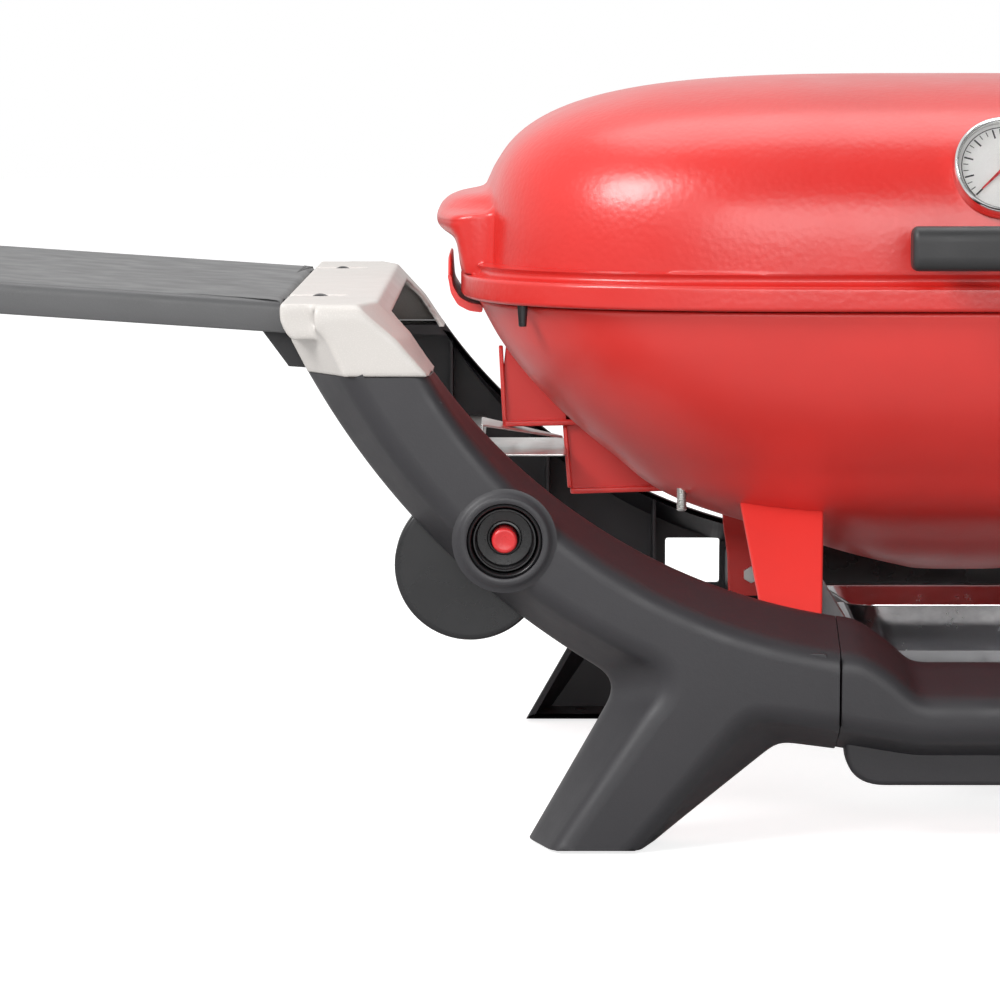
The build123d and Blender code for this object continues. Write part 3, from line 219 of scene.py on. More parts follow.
metal("gauge_chrome", (0.8, 0.8, 0.8), 0.1)
plastic("grate_iron", (0.022, 0.021, 0.021), 0.42, grain=350, depth=0.0002)

glass = Nodes("gauge_glass")
glass.set(Base_Color=(1, 1, 1, 1), Roughness=0.03, IOR=1.45, Transmission_Weight=1.0)
glass.bump([(glass.noise(20.0), 0.02, 0.0001)])
MATERIALS["gauge_glass"] = glass.material


SLOT_OF = {entry["node"]: entry["material_slot"] for entry in frame["record"]["subparts"]}
for name, node in NODES.items():
    for index in range(max(1, len(node.material_slots))):
        if len(node.material_slots) <= index:
            node.data.materials.append(MATERIALS[SLOT_OF[name]])
        else:
            node.material_slots[index].material = MATERIALS[SLOT_OF[name]]

# ---- mesh helpers

def placed(name, data):
    """A new object in the scene."""
    thing = bpy.data.objects.new(name, data)
    bpy.context.scene.collection.objects.link(thing)
    return thing


def piece(name, points, faces, slot, body, nodes=(), crease=38.0):
    """A new piece from points in millimetres, riding on a body and standing for CAD nodes."""
    mesh = bpy.data.meshes.new(name)
    mesh.from_pydata([tuple(c * MM for c in p) for p in points], [], faces)
    work = bmesh.new()
    work.from_mesh(mesh)
    bmesh.ops.remove_doubles(work, verts=work.verts, dist=2e-6)
    bmesh.ops.dissolve_degenerate(work, edges=work.edges, dist=1e-6)
    bmesh.ops.recalc_face_normals(work, faces=work.faces)
    work.to_mesh(mesh)
    work.free()
    mesh.shade_smooth()
    mesh.set_sharp_from_angle(angle=math.radians(crease))
    mesh.materials.append(MATERIALS[slot])
    thing = placed(name, mesh)
    weighted = thing.modifiers.new("weighted", "WEIGHTED_NORMAL")
    weighted.keep_sharp = True
    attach(thing, body)
    if nodes:
        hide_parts(*nodes)
    return thing


def mirror_points(points, x=1, y=1):
    return [(p[0] * x, p[1] * y, p[2]) for p in points]


def stack(rings, close=False):
    """Points and quads of rings that all have as many points."""
    count = len(rings[0])
    points = [p for ring in rings for p in ring]
    faces = []
    levels = len(rings) if close else len(rings) - 1
    for i in range(levels):
        low, high = i * count, ((i + 1) % len(rings)) * count
        for j in range(count):
            k = (j + 1) % count
            faces.append((low + j, low + k, high + k, high + j))
    return points, faces


def join(*parts):
    """Several (points, faces) lists as one."""
    points, faces = [], []
    for more_points, more_faces in parts:
        start = len(points)
        points += list(more_points)
        faces += [tuple(i + start for i in face) for face in more_faces]
    return points, faces


def capped(rings):
    """A stack of rings with a face over each end."""
    points, faces = stack(rings)
    count = len(rings[0])
    return points, faces + [tuple(range(count)), tuple(range(len(points) - count, len(points)))]


def moved(shape, way):
    """A shape with each point passed through a function of its three coordinates."""
    return [way(*p) for p in shape[0]], shape[1]


def circle(radius, count, centre=(0.0, 0.0)):
    """Points of a circle, as pairs."""
    return [(centre[0] + radius * math.cos(a), centre[1] + radius * math.sin(a))
            for a in np.linspace(0, 2 * math.pi, count + 1)[:-1]]


def fill(outer, holes=()):
    """A flat face inside an outline, round its holes, as triangles."""
    work = bmesh.new()
    for loop in (outer, *holes):
        corners = [work.verts.new(p) for p in loop]
        for a, b in zip(corners, corners[1:] + corners[:1]):
            work.edges.new((a, b))
    work.verts.index_update()
    bmesh.ops.triangle_fill(work, use_beauty=True, edges=work.edges)
    bmesh.ops.join_triangles(work, faces=work.faces, angle_face_threshold=1.0,
                             angle_shape_threshold=0.6)
    work.verts.index_update()
    points = [tuple(v.co) for v in work.verts]
    faces = [tuple(v.index for v in f.verts) for f in work.faces]
    work.free()
    return points, faces


def facing(outline, depth, holes=()):
    """A flat face inside an outline of (x, z), at one place along y."""
    shape = fill([(*p, 0.0) for p in outline], [[(*p, 0.0) for p in hole] for hole in holes])
    return moved(shape, lambda x, z, _: (x, depth, z))


def curve(a, b, c, steps):
    """Points of a quadratic curve from a towards b and on to c."""
    a, b, c = (np.asarray(p, float) for p in (a, b, c))
    t = np.linspace(0, 1, steps + 1)[:, None]
    return (1 - t) ** 2 * a + 2 * t * (1 - t) * b + t * t * c


def rounded(points, radius, steps=4):
    """A closed 2-D outline with its corners rounded; radius may be one per corner."""
    points = [np.asarray(p, float) for p in points]
    radii = radius if isinstance(radius, (list, tuple)) else [radius] * len(points)
    made = []
    for i, p in enumerate(points):
        back, ahead = points[i - 1] - p, points[(i + 1) % len(points)] - p
        reach = min(radii[i], 0.49 * np.linalg.norm(back), 0.49 * np.linalg.norm(ahead))
        if reach <= 0:
            made.append(p)
            continue
        start = p + back / np.linalg.norm(back) * reach
        end = p + ahead / np.linalg.norm(ahead) * reach
        made += list(curve(start, p, end, steps))
    return made


def turned(profile, centre, axis="Y", count=96):
    """A closed profile of (radius, height) turned about an axis through centre."""
    rings = []
    for radius, height in profile:
        ring = []
        for i in range(count):
            angle = 2 * math.pi * i / count
            u, v = radius * math.cos(angle), radius * math.sin(angle)
            if axis == "Y":
                ring.append((centre[0] + u, height, centre[1] + v))
            else:
                ring.append((centre[0] + u, centre[1] + v, height))
        rings.append(ring)
    return stack(rings, close=True)


def plate(outline, low, high, axis="Y", soft=0.8, steps=3):
    """A plate of a closed 2-D outline between two levels, with rounded rims."""
    outline = [np.asarray(p, float) for p in outline]
    inner = [tuple(p) for p in offset(outline, soft)]
    rings = []
    for level, way, sweep in ((low, 1, (0, math.pi / 2)), (high, -1, (math.pi / 2, 0))):
        for t in np.linspace(*sweep, steps + 1):
            mix, rise = 1 - math.sin(t), way * soft * (1 - math.cos(t))
            rings.append([tuple(o * (1 - mix) + np.asarray(i) * mix) + (level + rise,)
                          for o, i in zip(outline, inner)])
    points, faces = stack(rings)
    caps = [fill([(*p, low) for p in inner]), fill([(*p, high) for p in inner])]
    points, faces = join((points, faces), *caps)
    if axis == "Y":
        points = [(a, c, b) for a, b, c in points]
    elif axis == "X":
        points = [(c, a, b) for a, b, c in points]
    return points, faces


# ---- bevelled mouldings

def sampled(outline, counts=None, step=3.0):
    """Samples an outline of lines and arcs. Returns the points, how many each run has, and
    the run that each point starts."""
    runs, here, middle = [], outline[0][:2], None
    for point in outline[1:] + outline[:1]:
        if len(point) == 3:
            middle = point[:2]
            continue
        runs.append((here, middle, point[:2]))
        here, middle = point[:2], None
    made, used, owner = [], [], []
    for index, (a, m, b) in enumerate(runs):
        a, b = np.array(a, float), np.array(b, float)
        reach = np.linalg.norm(b - a)
        count = counts[index] if counts else max(2, int(math.ceil(reach / step)))
        used.append(count)
        if m is not None:
            m = np.array(m, float)
            centre = circle_centre(a, m, b)
            first = math.atan2(*(a - centre)[::-1])
            middle_turn = (math.atan2(*(m - centre)[::-1]) - first) % (2 * math.pi)
            sweep = (math.atan2(*(b - centre)[::-1]) - first) % (2 * math.pi)
            if middle_turn > sweep:
                sweep -= 2 * math.pi
            radius = np.linalg.norm(a - centre)
        for i in range(count):
            t = i / count
            if m is None:
                made.append(a + (b - a) * t)
            else:
                angle = first + sweep * t
                made.append(centre + radius * np.array([math.cos(angle), math.sin(angle)]))
            owner.append(index)
    return made, used, owner


def circle_centre(a, b, c):
    m = np.array([b - a, c - a]) * 2.0
    return np.linalg.solve(m, np.array([b @ b - a @ a, c @ c - a @ a]))


def relaxed(points, owner, fixed, rounds):
    """The outline with its corners softened; the ends of fixed runs stay where they are."""
    points = np.array(points)
    owner = np.array(owner)
    held = np.isin(owner, fixed) | np.isin(np.roll(owner, 1), fixed)
    for _ in range(rounds):
        softer = 0.25 * np.roll(points, 1, 0) + 0.5 * points + 0.25 * np.roll(points, -1, 0)
        points = np.where(held[:, None], points, softer)
    return points


def offset(points, distance):
    """The outline moved inwards. distance may be one value per side, the side after a point."""
    points = np.asarray(points, float)
    count = len(points)
    side = np.full(count, float(distance)) if np.isscalar(distance) else np.asarray(distance, float)
    area = 0.5 * np.sum(points[:, 0] * np.roll(points[:, 1], -1) - points[:, 1] * np.roll(points[:, 0], -1))
    turn = 1.0 if area > 0 else -1.0
    made = []
    for i in range(count):
        before = points[i] - points[i - 1]
        ahead = points[(i + 1) % count] - points[i]
        before, ahead = before / np.linalg.norm(before), ahead / np.linalg.norm(ahead)
        n1 = turn * np.array([-before[1], before[0]])
        n2 = turn * np.array([-ahead[1], ahead[0]])
        d1, d2 = side[i - 1], side[i]
        if n1 @ n2 > 0.97:
            normal = (n1 + n2) / np.linalg.norm(n1 + n2)
            made.append(points[i] + normal * 0.5 * (d1 + d2))
        else:
            made.append(points[i] + np.linalg.solve(np.array([n1, n2]), np.array([d1, d2])))
    return np.array(made)


OPEN, BEVEL, FACE, WALL = 188.0, 195.0, 230.0, 3.5


def moulding(edge, face, ends, ridge=9.0, lip=6.0, soften=6, hollow=None):
    """A hollow moulding that faces the front: square rim, wide bevel with soft ridges, flat face.
    ends are the runs of the outline where it butts against a neighbour."""
    outer, counts, owner = sampled(edge)
    inner, _, _ = sampled(face, counts)
    outer, inner = relaxed(outer, owner, ends, soften), relaxed(inner, owner, ends, soften)
    flat = np.isin(owner, ends)
    near = offset(inner, np.where(flat, 0.5, ridge))
    near[:, 1] = np.maximum(near[:, 1], inner[:, 1].min() + 0.5)
    slope = np.hypot(np.linalg.norm(inner - outer, axis=1), FACE - BEVEL)

    def level(t):
        plan = outer * (1 - t[:, None]) + inner * t[:, None]
        return plan, BEVEL + (FACE - BEVEL) * t

    rings = []

    def ring(plan, depth):
        rings.append([(p[0], -d, p[1]) for p, d in zip(plan, np.broadcast_to(depth, len(plan)))])

    shrunk = offset(outer, 0.6)
    ring(shrunk, OPEN)
    ring(outer, OPEN + 0.6)
    first, last = lip / slope, 1 - ridge / slope
    low_plan, low_depth = level(first)
    for s in np.linspace(0, 1, 6):
        w0, w1, w2 = (1 - s) ** 2, 2 * s * (1 - s), s * s
        ring(outer * (w0 + w1) + low_plan * w2, (BEVEL - 4) * w0 + BEVEL * w1 + low_depth * w2)
    for s in (0.25, 0.5, 0.75):
        plan, depth = level(first + (last - first) * s)
        ring(plan, depth)
    high_plan, high_depth = level(last)
    for s in np.linspace(0, 1, 8):
        w0, w1, w2 = (1 - s) ** 2, 2 * s * (1 - s), s * s
        ring(high_plan * w0 + inner * w1 + near * w2, high_depth * w0 + FACE * (w1 + w2))
    back_outer = hollow[0] if hollow else offset(outer, WALL)
    back_inner = hollow[1] if hollow else offset(inner, WALL * 0.6)
    inside = []
    for plan, depth in ((back_outer, OPEN), (back_outer, BEVEL), (back_inner, FACE - WALL)):
        inside.append([(p[0], -depth, p[1]) for p in plan])
    shape = join(stack(rings), facing(near, -FACE), stack(inside), facing(back_inner, -(FACE - WALL)),
                 facing(shrunk, -OPEN, [back_outer]))
    return shape, np.array(back_outer), np.array(back_inner)


def scratch(name, shape):
    """A closed mesh object that is only there to be cut or to cut, in millimetres."""
    mesh = bpy.data.meshes.new(name)
    mesh.from_pydata([tuple(p) for p in shape[0]], [], shape[1])
    work = bmesh.new()
    work.from_mesh(mesh)
    bmesh.ops.remove_doubles(work, verts=work.verts, dist=0.002)
    bmesh.ops.recalc_face_normals(work, faces=work.faces)
    work.to_mesh(mesh)
    work.free()
    return placed(name, mesh)


def cut(shape, tool):
    """A closed shape with a tool shape taken out of it."""
    body, knife = scratch("cut_body", shape), scratch("cut_knife", tool)
    taken = body.modifiers.new("taken", "BOOLEAN")
    taken.operation, taken.solver, taken.object = "DIFFERENCE", "EXACT", knife
    mesh = body.evaluated_get(bpy.context.evaluated_depsgraph_get()).to_mesh()
    points = [tuple(v.co) for v in mesh.vertices]
    faces = [tuple(f.vertices) for f in mesh.polygons]
    for thing in (body, knife):
        old = thing.data
        bpy.data.objects.remove(thing)
        bpy.data.meshes.remove(old)
    return points, faces


def crossing(plan, x):
    """Lowest and highest point of an outline's upper stretch at one x."""
    found = []
    for a, b in zip(plan, np.roll(plan, -1, 0)):
        if (a[0] - x) * (b[0] - x) < 0:
            found.append(a[1] + (b[1] - a[1]) * (x - a[0]) / (b[0] - a[0]))
    return sorted(found)[-2:]


def rib(back_outer, back_inner, x, thick=2.2):
    """A stiffening rib across the hollow of a moulding."""
    low_out, high_out = crossing(back_outer, x)
    low_in, high_in = crossing(back_inner, x)
    outline = [(-196, low_out - 0.5), (-196, high_out + 0.5), (-227.5, high_in + 0.5), (-227.5, low_in - 0.5)]
    return plate(rounded(outline, 0.5, 1), x - thick / 2, x + thick / 2, "X", 0.5, 2)


SIDES = ((1, "right"), (-1, "left"))
YOKE_Z, CONTROL = 262.0, (271.0, 173.0)
ARM_EDGE = [
    (310, YOKE_Z), (203, 165.5, "arc"), (88, 126), (88, 52), (119, 56), (186, 1.5), (257, 1.5),
    (213, 79), (210.5, 88, "arc"), (217, 96.5), (322, 182, "arc"), (379, YOKE_Z),
]
ARM_FACE = [
    (312, YOKE_Z), (203, 150, "arc"), (88, 109), (88, 70), (137, 77), (198, 1.5), (244, 1.5),
    (188, 83), (179.5, 94, "arc"), (185, 105), (298, 181, "arc"), (357, YOKE_Z),
]
ARM_ENDS = [1, 4, 8]
SOCKET_R = 22.0
WINDOW = [(128.5, 87), (164.5, 87), (164.5, 117), (128.5, 117)]

arm, arm_back, arm_deep = moulding(ARM_EDGE, ARM_FACE, ARM_ENDS)
front_arm = cut(arm, plate(circle(SOCKET_R, 64, CONTROL), -245.0, -180.0, "Y", 0.2, 1))
rear_arm = cut(arm, plate(rounded(WINDOW, 2), -245.0, -180.0, "Y", 0.2, 1))
collar = turned([(28.5, -229.9), (26.6, -230.3), (25.2, -231.3), (24.3, -232.5), (23.2, -233.0),
                 (21.7, -233.0), (20.7, -232.6), (20.5, -231.6), (20.5, -196), (24.0, -196),
                 (24.0, -228.8), (27.5, -229.2)], CONTROL)
ribs = [rib(arm_back, arm_deep, x) for x in (306, 243, 173, 123)]
boss = plate(rounded([(95, 85), (125, 85), (125, 111), (95, 111)], 3), -228.0, -190.0, "Y", 0.6)
front_arm = join(front_arm, collar, boss, *ribs)
rear_arm = join(rear_arm, boss, *ribs)
for side, word in SIDES:
    points, faces = front_arm
    piece("arm_front_" + word, mirror_points(points, side), faces, "frame_charcoal", "frame",
          ["front_arm_" + word])
    points, faces = rear_arm
    piece("arm_rear_" + word, mirror_points(points, side, -1), faces, "frame_charcoal", "frame",
          ["rear_arm_" + word])


# ---- lid

def oval(half_x, half_y, angles, power=3.6):
    """Squarish oval: radius at each polar angle, as x, y."""
    c, s = np.abs(np.cos(angles)), np.abs(np.sin(angles))
    radius = ((c / half_x) ** power + (s / half_y) ** power) ** (-1 / power)
    return radius


def polar_angles(corner, width, dense, sparse):
    """Polar angles all round, crowded together near +-corner and its mirror images."""
    quarter = np.concatenate([
        np.linspace(0, corner - width, sparse, endpoint=False),
        np.linspace(corner - width, corner + width, dense, endpoint=False),
        np.linspace(corner + width, math.pi / 2, 3 * sparse, endpoint=False),
    ])
    half = np.concatenate([quarter, math.pi - np.append(quarter[1:], math.pi / 2)[::-1]])
    return np.concatenate([half, half + math.pi])


def soft_max(a, b, k):
    h = np.clip(0.5 + 0.5 * (a - b) / k, 0, 1)
    return b + (a - b) * h + k * h * (1 - h)


def fitted(table, values):
    """Smooth interpolation of rows (z, value, ...) at new z values."""
    table = np.array(sorted(table), float)
    z, made = table[:, 0], []
    for column in table[:, 1:].T:
        slope = np.gradient(column, z)
        i = np.clip(np.searchsorted(z, values) - 1, 0, len(z) - 2)
        h = z[i + 1] - z[i]
        t = np.clip((values - z[i]) / h, 0, 1)
        made.append((2 * t ** 3 - 3 * t ** 2 + 1) * column[i] + (t ** 3 - 2 * t ** 2 + t) * h * slope[i]
                    + (3 * t ** 2 - 2 * t ** 3) * column[i + 1] + (t ** 3 - t ** 2) * h * slope[i + 1])
    return made


LID_X, LID_Y, LID_LOW, LID_TOP, DOME_LOW = 297.0, 215.0, 296.0, 424.6, 316.0
HOOD_Y = 100.0
# Height and reach of the hood at each end of the lid, at its middle and at its corners.
HOOD_MIDDLE = [
    (296, 292), (303, 295), (313, 297.6), (322, 298.8), (327, 300.0), (330.5, 302.6), (333.5, 307.8),
    (336.5, 310.6), (340, 311.4), (345, 310.2), (349.5, 307.2), (353, 302), (354.8, 296.5),
    (355.8, 291), (356.8, 286), (358.6, 281.5), (362.2, 278.2), (370, 273), (380, 262),
]
HOOD_CORNER = [
    (296, 288), (301.4, 290.3), (307, 292.6), (313.4, 294.8), (323.8, 297.2), (334, 298.7), (340, 299.3),
    (342.6, 298.6), (344.2, 295), (345.2, 289), (346.4, 282), (348.6, 275.5), (354, 268), (362, 262),
    (380, 245),
]
angles = polar_angles(math.radians(18.9), math.radians(2.6), 56, 24)


def dome_narrow(z, top, power):
    t = np.clip((z - DOME_LOW) / (top - DOME_LOW), 0, 1)
    return (1 - t ** power) ** (1 / power)


def dome_ring(z, top=LID_TOP, wall=0.0, hooded=True):
    radius = oval(283 * dome_narrow(z, top, 3.6) - wall, 212 * dome_narrow(z, top, 3.1) - wall, angles)
    if hooded and z <= 379:
        c, s = np.abs(np.cos(angles)), np.abs(np.sin(angles))
        side = np.clip(297 * s / np.maximum(c, 1e-6) / HOOD_Y, 0, 1) ** 2.6
        middle, corner = (fitted(t, np.array([z]))[0][0] for t in (HOOD_MIDDLE, HOOD_CORNER))
        reach = middle * (1 - side) + corner * side
        box = ((c / reach) ** 34 + (s / HOOD_Y) ** 34) ** (-1 / 34)
        radius = np.where(c > 0.8, soft_max(radius, box, 8.0), radius)
    return radius


def ring_at(radius, z):
    return [(r * math.cos(a), r * math.sin(a), z) for r, a in zip(radius, angles)]


band = oval(LID_X, LID_Y, angles)
rings = [ring_at(band - 14, 316), ring_at(band - 14, 297.2), ring_at(band - 13, 296.2)]
for t in np.linspace(0, math.pi / 2, 6):
    rings.append(ring_at(band - 2.4 * (1 - math.sin(t)), LID_LOW + 2.4 * (1 - math.cos(t))))
rings += [ring_at(band + 0.0, z) for z in (302, 305.5)]
for t in np.linspace(0, math.pi / 2, 6):
    rings.append(ring_at(band - 2.6 * (1 - math.cos(t)), 307.6 + 2.4 * math.sin(t)))
plain = oval(283, 212, angles)
for z, x in ((310.6, 4.4), (311.8, 5.6), (313.2, 5.8), (314.6, 5.0), (315.8, 3.6)):
    hood = dome_ring(z)
    in_hood = np.clip((hood - plain - 0.5) / 4.0, 0, 1)
    rings.append(ring_at((band - x) * (1 - in_hood) + soft_max(band - x - 2, hood, 2.0) * in_hood, z))
dome_levels = np.unique(np.concatenate([
    np.linspace(316.8, 328, 8), np.linspace(328, 362, 60), np.linspace(362, 380, 10),
    LID_TOP - (LID_TOP - 380) * np.linspace(1, 0, 30) ** 2]))
for z in dome_levels[:-1]:
    rings.append(ring_at(dome_ring(z), z))
shell, shell_faces = stack(rings)
top = [tuple(np.array(p) * (0.5, 0.5, 1) + np.array((0, 0, (LID_TOP - p[2]) * 0.7))) for p in rings[-1]]
centre = [(0, 0, LID_TOP)] * len(angles)
cap, cap_faces = stack([rings[-1], top, centre])
inner_levels = np.concatenate([np.linspace(316, 380, 14), 420 - (420 - 380) * np.linspace(1, 0, 14)[1:] ** 2])
inner_rings = [ring_at(dome_ring(z, 420.6, 4.0, False), z) for z in inner_levels[:-1]]
inner_rings = [ring_at(band - 14, 316)] + inner_rings + [[(0, 0, 420)] * len(angles)]
piece("lid_shell", *join((shell, shell_faces), (cap, cap_faces), stack(inner_rings)),
      "lid_red", "lid", ["lid"], crease=60)


# ---- cook box

BOX_LEVELS = [(295, 288, 206), (268, 273, 195), (236, 247, 177), (203, 210, 151), (176, 172, 124),
              (156, 115, 85), (138, 60, 48), (130, 30, 26)]
box_angles = polar_angles(math.radians(12), math.radians(2.5), 24, 24)


def box_ring(z, shrink=0.0):
    half_x, half_y = fitted(BOX_LEVELS, np.array([float(z)]))
    radius = oval(half_x[0] - shrink, half_y[0] - shrink, box_angles)
    return [(r * math.cos(a), r * math.sin(a), z) for r, a in zip(radius, box_angles)]


def flat_ring(half_x, half_y, z):
    radius = oval(half_x, half_y, box_angles)
    return [(r * math.cos(a), r * math.sin(a), z) for r, a in zip(radius, box_angles)]


rings = [[(13 * math.cos(a), 13 * math.sin(a), z) for a in box_angles] for z in (133.4, 130.8)]
rings += [flat_ring(13.8, 13.8, 130.05), flat_ring(20, 18, 130.0), flat_ring(27, 23.4, 130.05)]
rings += [box_ring(z) for z in np.linspace(130.5, 291, 64)]
for t in np.linspace(0, math.pi / 2, 5):
    rings.append(box_ring(292.2 + 2.8 * math.sin(t), 2.8 * (1 - math.cos(t))))
rings += [flat_ring(273.0, 192.0, 295.0), flat_ring(272.0, 191.0, 294.2), flat_ring(272, 191, 280.2),
          flat_ring(271.2, 190.2, 279.2), flat_ring(263.5, 182.5, 279.0), flat_ring(262, 181, 277.5)]
for z in np.linspace(262, 131, 40):
    rise = 4.0 * ((295 - z) / 165) ** 2
    rings.append([(x, y, z + rise) for x, y, _ in box_ring(z, 6.0)])
rings.append(flat_ring(13.8, 13.8, 134.0))
bowl = stack(rings, close=True)
lips = []
for side in (1, -1):
    back = []
    for y in np.linspace(-58, 58, 41):
        edge = max(0.0, (abs(y) - 34) / 24.0)
        top = 319 - 24 * edge ** 2.2
        outline = [(284, 285.5), (292, 286.6), (298.5, 290.0), (302.6, 297.0), (303.8, 304.0),
                   (304.4, max(307.0, top - 2)), (303.6, max(308.0, top)), (302.4, max(307.4, top - 0.6)),
                   (301.4, 301.0), (297.6, 294.6), (292, 291.4), (284, 290.0)]
        shaped = rounded(outline, 1.6, 2)
        back.append([(side * x, y, z) for x, z in shaped])
    lips.append(capped(back))
piece("cook_bowl", *join(bowl, *lips), "box_red", "frame", ["cook_box"], crease=50)

# Stepped end fins with thick feet.
FIN_WEBS = (
    [(252, 262), (215, 236), (214.6, 216.4), (272, 215.4), (272.8, 240), (270, 266), (264, 276)],
    [(205, 221), (168, 190), (160.2, 186), (160, 177.4), (231, 175.2), (234.5, 212), (236, 226)],
)
fins = []
for side in (1, -1):
    for outline in FIN_WEBS:
        web = rounded([(side * x, z) for x, z in outline], 2.0, 3)
        fins.append(plate(web, -2.5, 2.5, "Y", 0.9))
    for low, near, far, drop in ((215.2, 214.5, 272.4, -1.2), (175.6, 160, 231.6, -2.2)):
        foot = rounded([(side * near, -7), (side * far, -7), (side * far, 7), (side * near, 7)], 2.4, 3)
        slope = drop / (far - near)
        fins.append(moved(plate(foot, 0, 3.4, "Z", 0.9),
                          lambda x, y, z: (x, y, z + low - 0.4 + slope * (abs(x) - near))))
    for x0, x1, z0, z1 in ((270.8, 273.2, 216, 262), (231.6, 234.6, 176.5, 214)):
        edge = rounded([(-6, z0), (6, z0), (4.5, z1), (-4.5, z1)], 2.0, 3)
        lean = (x1 - x0) / (z1 - z0)
        fins.append(moved(plate(edge, 0, 2.6, "X", 0.8),
                          lambda x, y, z: (side * (x0 + x + (z - z0) * lean - 1.0), y, z)))
piece("end_fins", *join(*fins), "box_red", "frame", ["box_fins"])

# Strap legs: a flange on the frame boss, a slanting strap and a pad on the bowl.
leg_path = [(-187.2, 84), (-187.2, 108), (-186.6, 116), (-183.4, 122), (-178, 127.5), (-104, 188),
            (-99, 192.5)]
leg_width = [(96.5, 124.8), (96.0, 125.5), (95.4, 126.4), (94.8, 127.2), (94.0, 128.5),
             (87.5, 137.5), (86.2, 139)]
path = np.array(leg_path, float)
along = np.concatenate([[0], np.cumsum(np.linalg.norm(np.diff(path, axis=0), axis=1))])
width = np.array(leg_width, float)
sections = []
for s in np.linspace(0, along[-1], 46):
    y, z = np.interp(s, along, path[:, 0]), np.interp(s, along, path[:, 1])
    y2, z2 = np.interp(s + 2.0, along, path[:, 0]), np.interp(s + 2.0, along, path[:, 1])
    y1, z1 = np.interp(s - 2.0, along, path[:, 0]), np.interp(s - 2.0, along, path[:, 1])
    tangent = np.array([y2 - y1, z2 - z1])
    tangent /= np.linalg.norm(tangent)
    out = np.array([-tangent[1], tangent[0]])
    x0, x1 = np.interp(s, along, width[:, 0]), np.interp(s, along, width[:, 1])
    half = 1.7
    corner = rounded([(x0, -half), (x1, -half), (x1, half), (x0, half)], 1.5, 3)
    sections.append([(x, y + out[0] * h, z + out[1] * h) for x, h in corner])
points, faces = capped(sections)
legs = [(mirror_points(points, x, y), faces) for x in (1, -1) for y in (1, -1)]
piece("strap_legs", *join(*legs), "box_red", "frame", ["box_legs"])

# ---- softened castings

def softened(node, name, slot, body, voxel, rounds, hold=None, crease=80.0):
    """A CAD shape with its edges melted to soft radii, as a moulding has them."""
    source = placed("source", NODES[node].data.copy())
    remesh = source.modifiers.new("voxels", "REMESH")
    remesh.mode, remesh.voxel_size, remesh.adaptivity = "VOXEL", voxel * MM, 0.0
    evaluated = source.evaluated_get(bpy.context.evaluated_depsgraph_get())
    mesh = bpy.data.meshes.new_from_object(evaluated)
    bpy.data.objects.remove(source)
    points = np.empty(len(mesh.vertices) * 3)
    mesh.vertices.foreach_get("co", points)
    points = points.reshape(-1, 3)
    edges = np.empty(len(mesh.edges) * 2, int)
    mesh.edges.foreach_get("vertices", edges)
    edges = edges.reshape(-1, 2)
    degree = np.bincount(edges.ravel(), minlength=len(points))[:, None]
    free = np.ones((len(points), 1)) if hold is None else hold(points / MM)[:, None]
    for _ in range(rounds):
        for step in (0.55, -0.56):
            total = np.zeros_like(points)
            np.add.at(total, edges[:, 0], points[edges[:, 1]])
            np.add.at(total, edges[:, 1], points[edges[:, 0]])
            points = points + step * free * (total / np.maximum(degree, 1) - points)
    faces = [tuple(p.vertices) for p in mesh.polygons]
    bpy.data.meshes.remove(mesh)
    return piece(name, [tuple(p / MM) for p in points], faces, slot, body, [node], crease)


for word in ("left", "right"):
    softened("side_yoke_" + word, "yoke_" + word, "yoke_cream", "frame", 1.6, 26,
             lambda p: np.clip((p[:, 2] - 262.5) / 5.0, 0.0, 1.0))


# ---- rails

def two_sided(half):
    """An outline from its right-hand half, from the top to the bottom."""
    return half[::-1] + [(-p[0],) + tuple(p[1:]) for p in half]


RAIL_X = 87.5
front_edge = two_sided([(46, 100), (60, 113, "arc"), (78, 125), (RAIL_X, 126), (RAIL_X, 53), (45, 46)])
front_face = two_sided([(44, 84), (58, 97, "arc"), (76, 108), (RAIL_X, 109), (RAIL_X, 70), (45, 63)])
rear_edge = two_sided([(81.5, 68), (83, 118), (RAIL_X, 126), (RAIL_X, 53), (60, 40)])
rear_face = two_sided([(81.5, 64), (84, 104), (RAIL_X, 109), (RAIL_X, 58), (60, 44)])


def run_ends(outline):
    """The runs of an outline that lie on x = +-RAIL_X."""
    corners = [p for p in outline if len(p) == 2]
    return [i for i, p in enumerate(corners)
            if abs(abs(p[0]) - RAIL_X) < 0.1 and abs(abs(corners[(i + 1) % len(corners)][0]) - RAIL_X) < 0.1]


rail_front, _, _ = moulding(front_edge, front_face, run_ends(front_edge), soften=5)
keel_outline = rounded([(-83, 80), (-83, 33), (83, 33), (83, 80)], [2, 23, 23, 2], 12)
keel_part = plate(keel_outline, -204, -188.3, "Y", 3.0, 5)
piece("rail_front", *join(rail_front, keel_part), "frame_charcoal", "frame", ["front_rail"])
hollow_rear = [(-76, 64), (-76, 53), (-58, 43.5), (58, 43.5), (76, 53), (76, 64)]
deep_rear = [(-74, 61), (-74, 56), (-58, 48), (58, 48), (74, 56), (74, 61)]
rail_rear, _, _ = moulding(rear_edge, rear_face, run_ends(rear_edge), ridge=4.0, lip=4.0, soften=3,
                           hollow=(np.array(rounded(hollow_rear, 2, 2)), np.array(rounded(deep_rear, 2, 2))))
piece("rail_rear", mirror_points(rail_rear[0], 1, -1), rail_rear[1], "frame_charcoal", "frame", ["rear_rail"])

# ---- folding tables

SLOPE = math.radians(3.8)
TABLE_AT, HINGE = (386.0, 300.0), (374.0, 296.0)


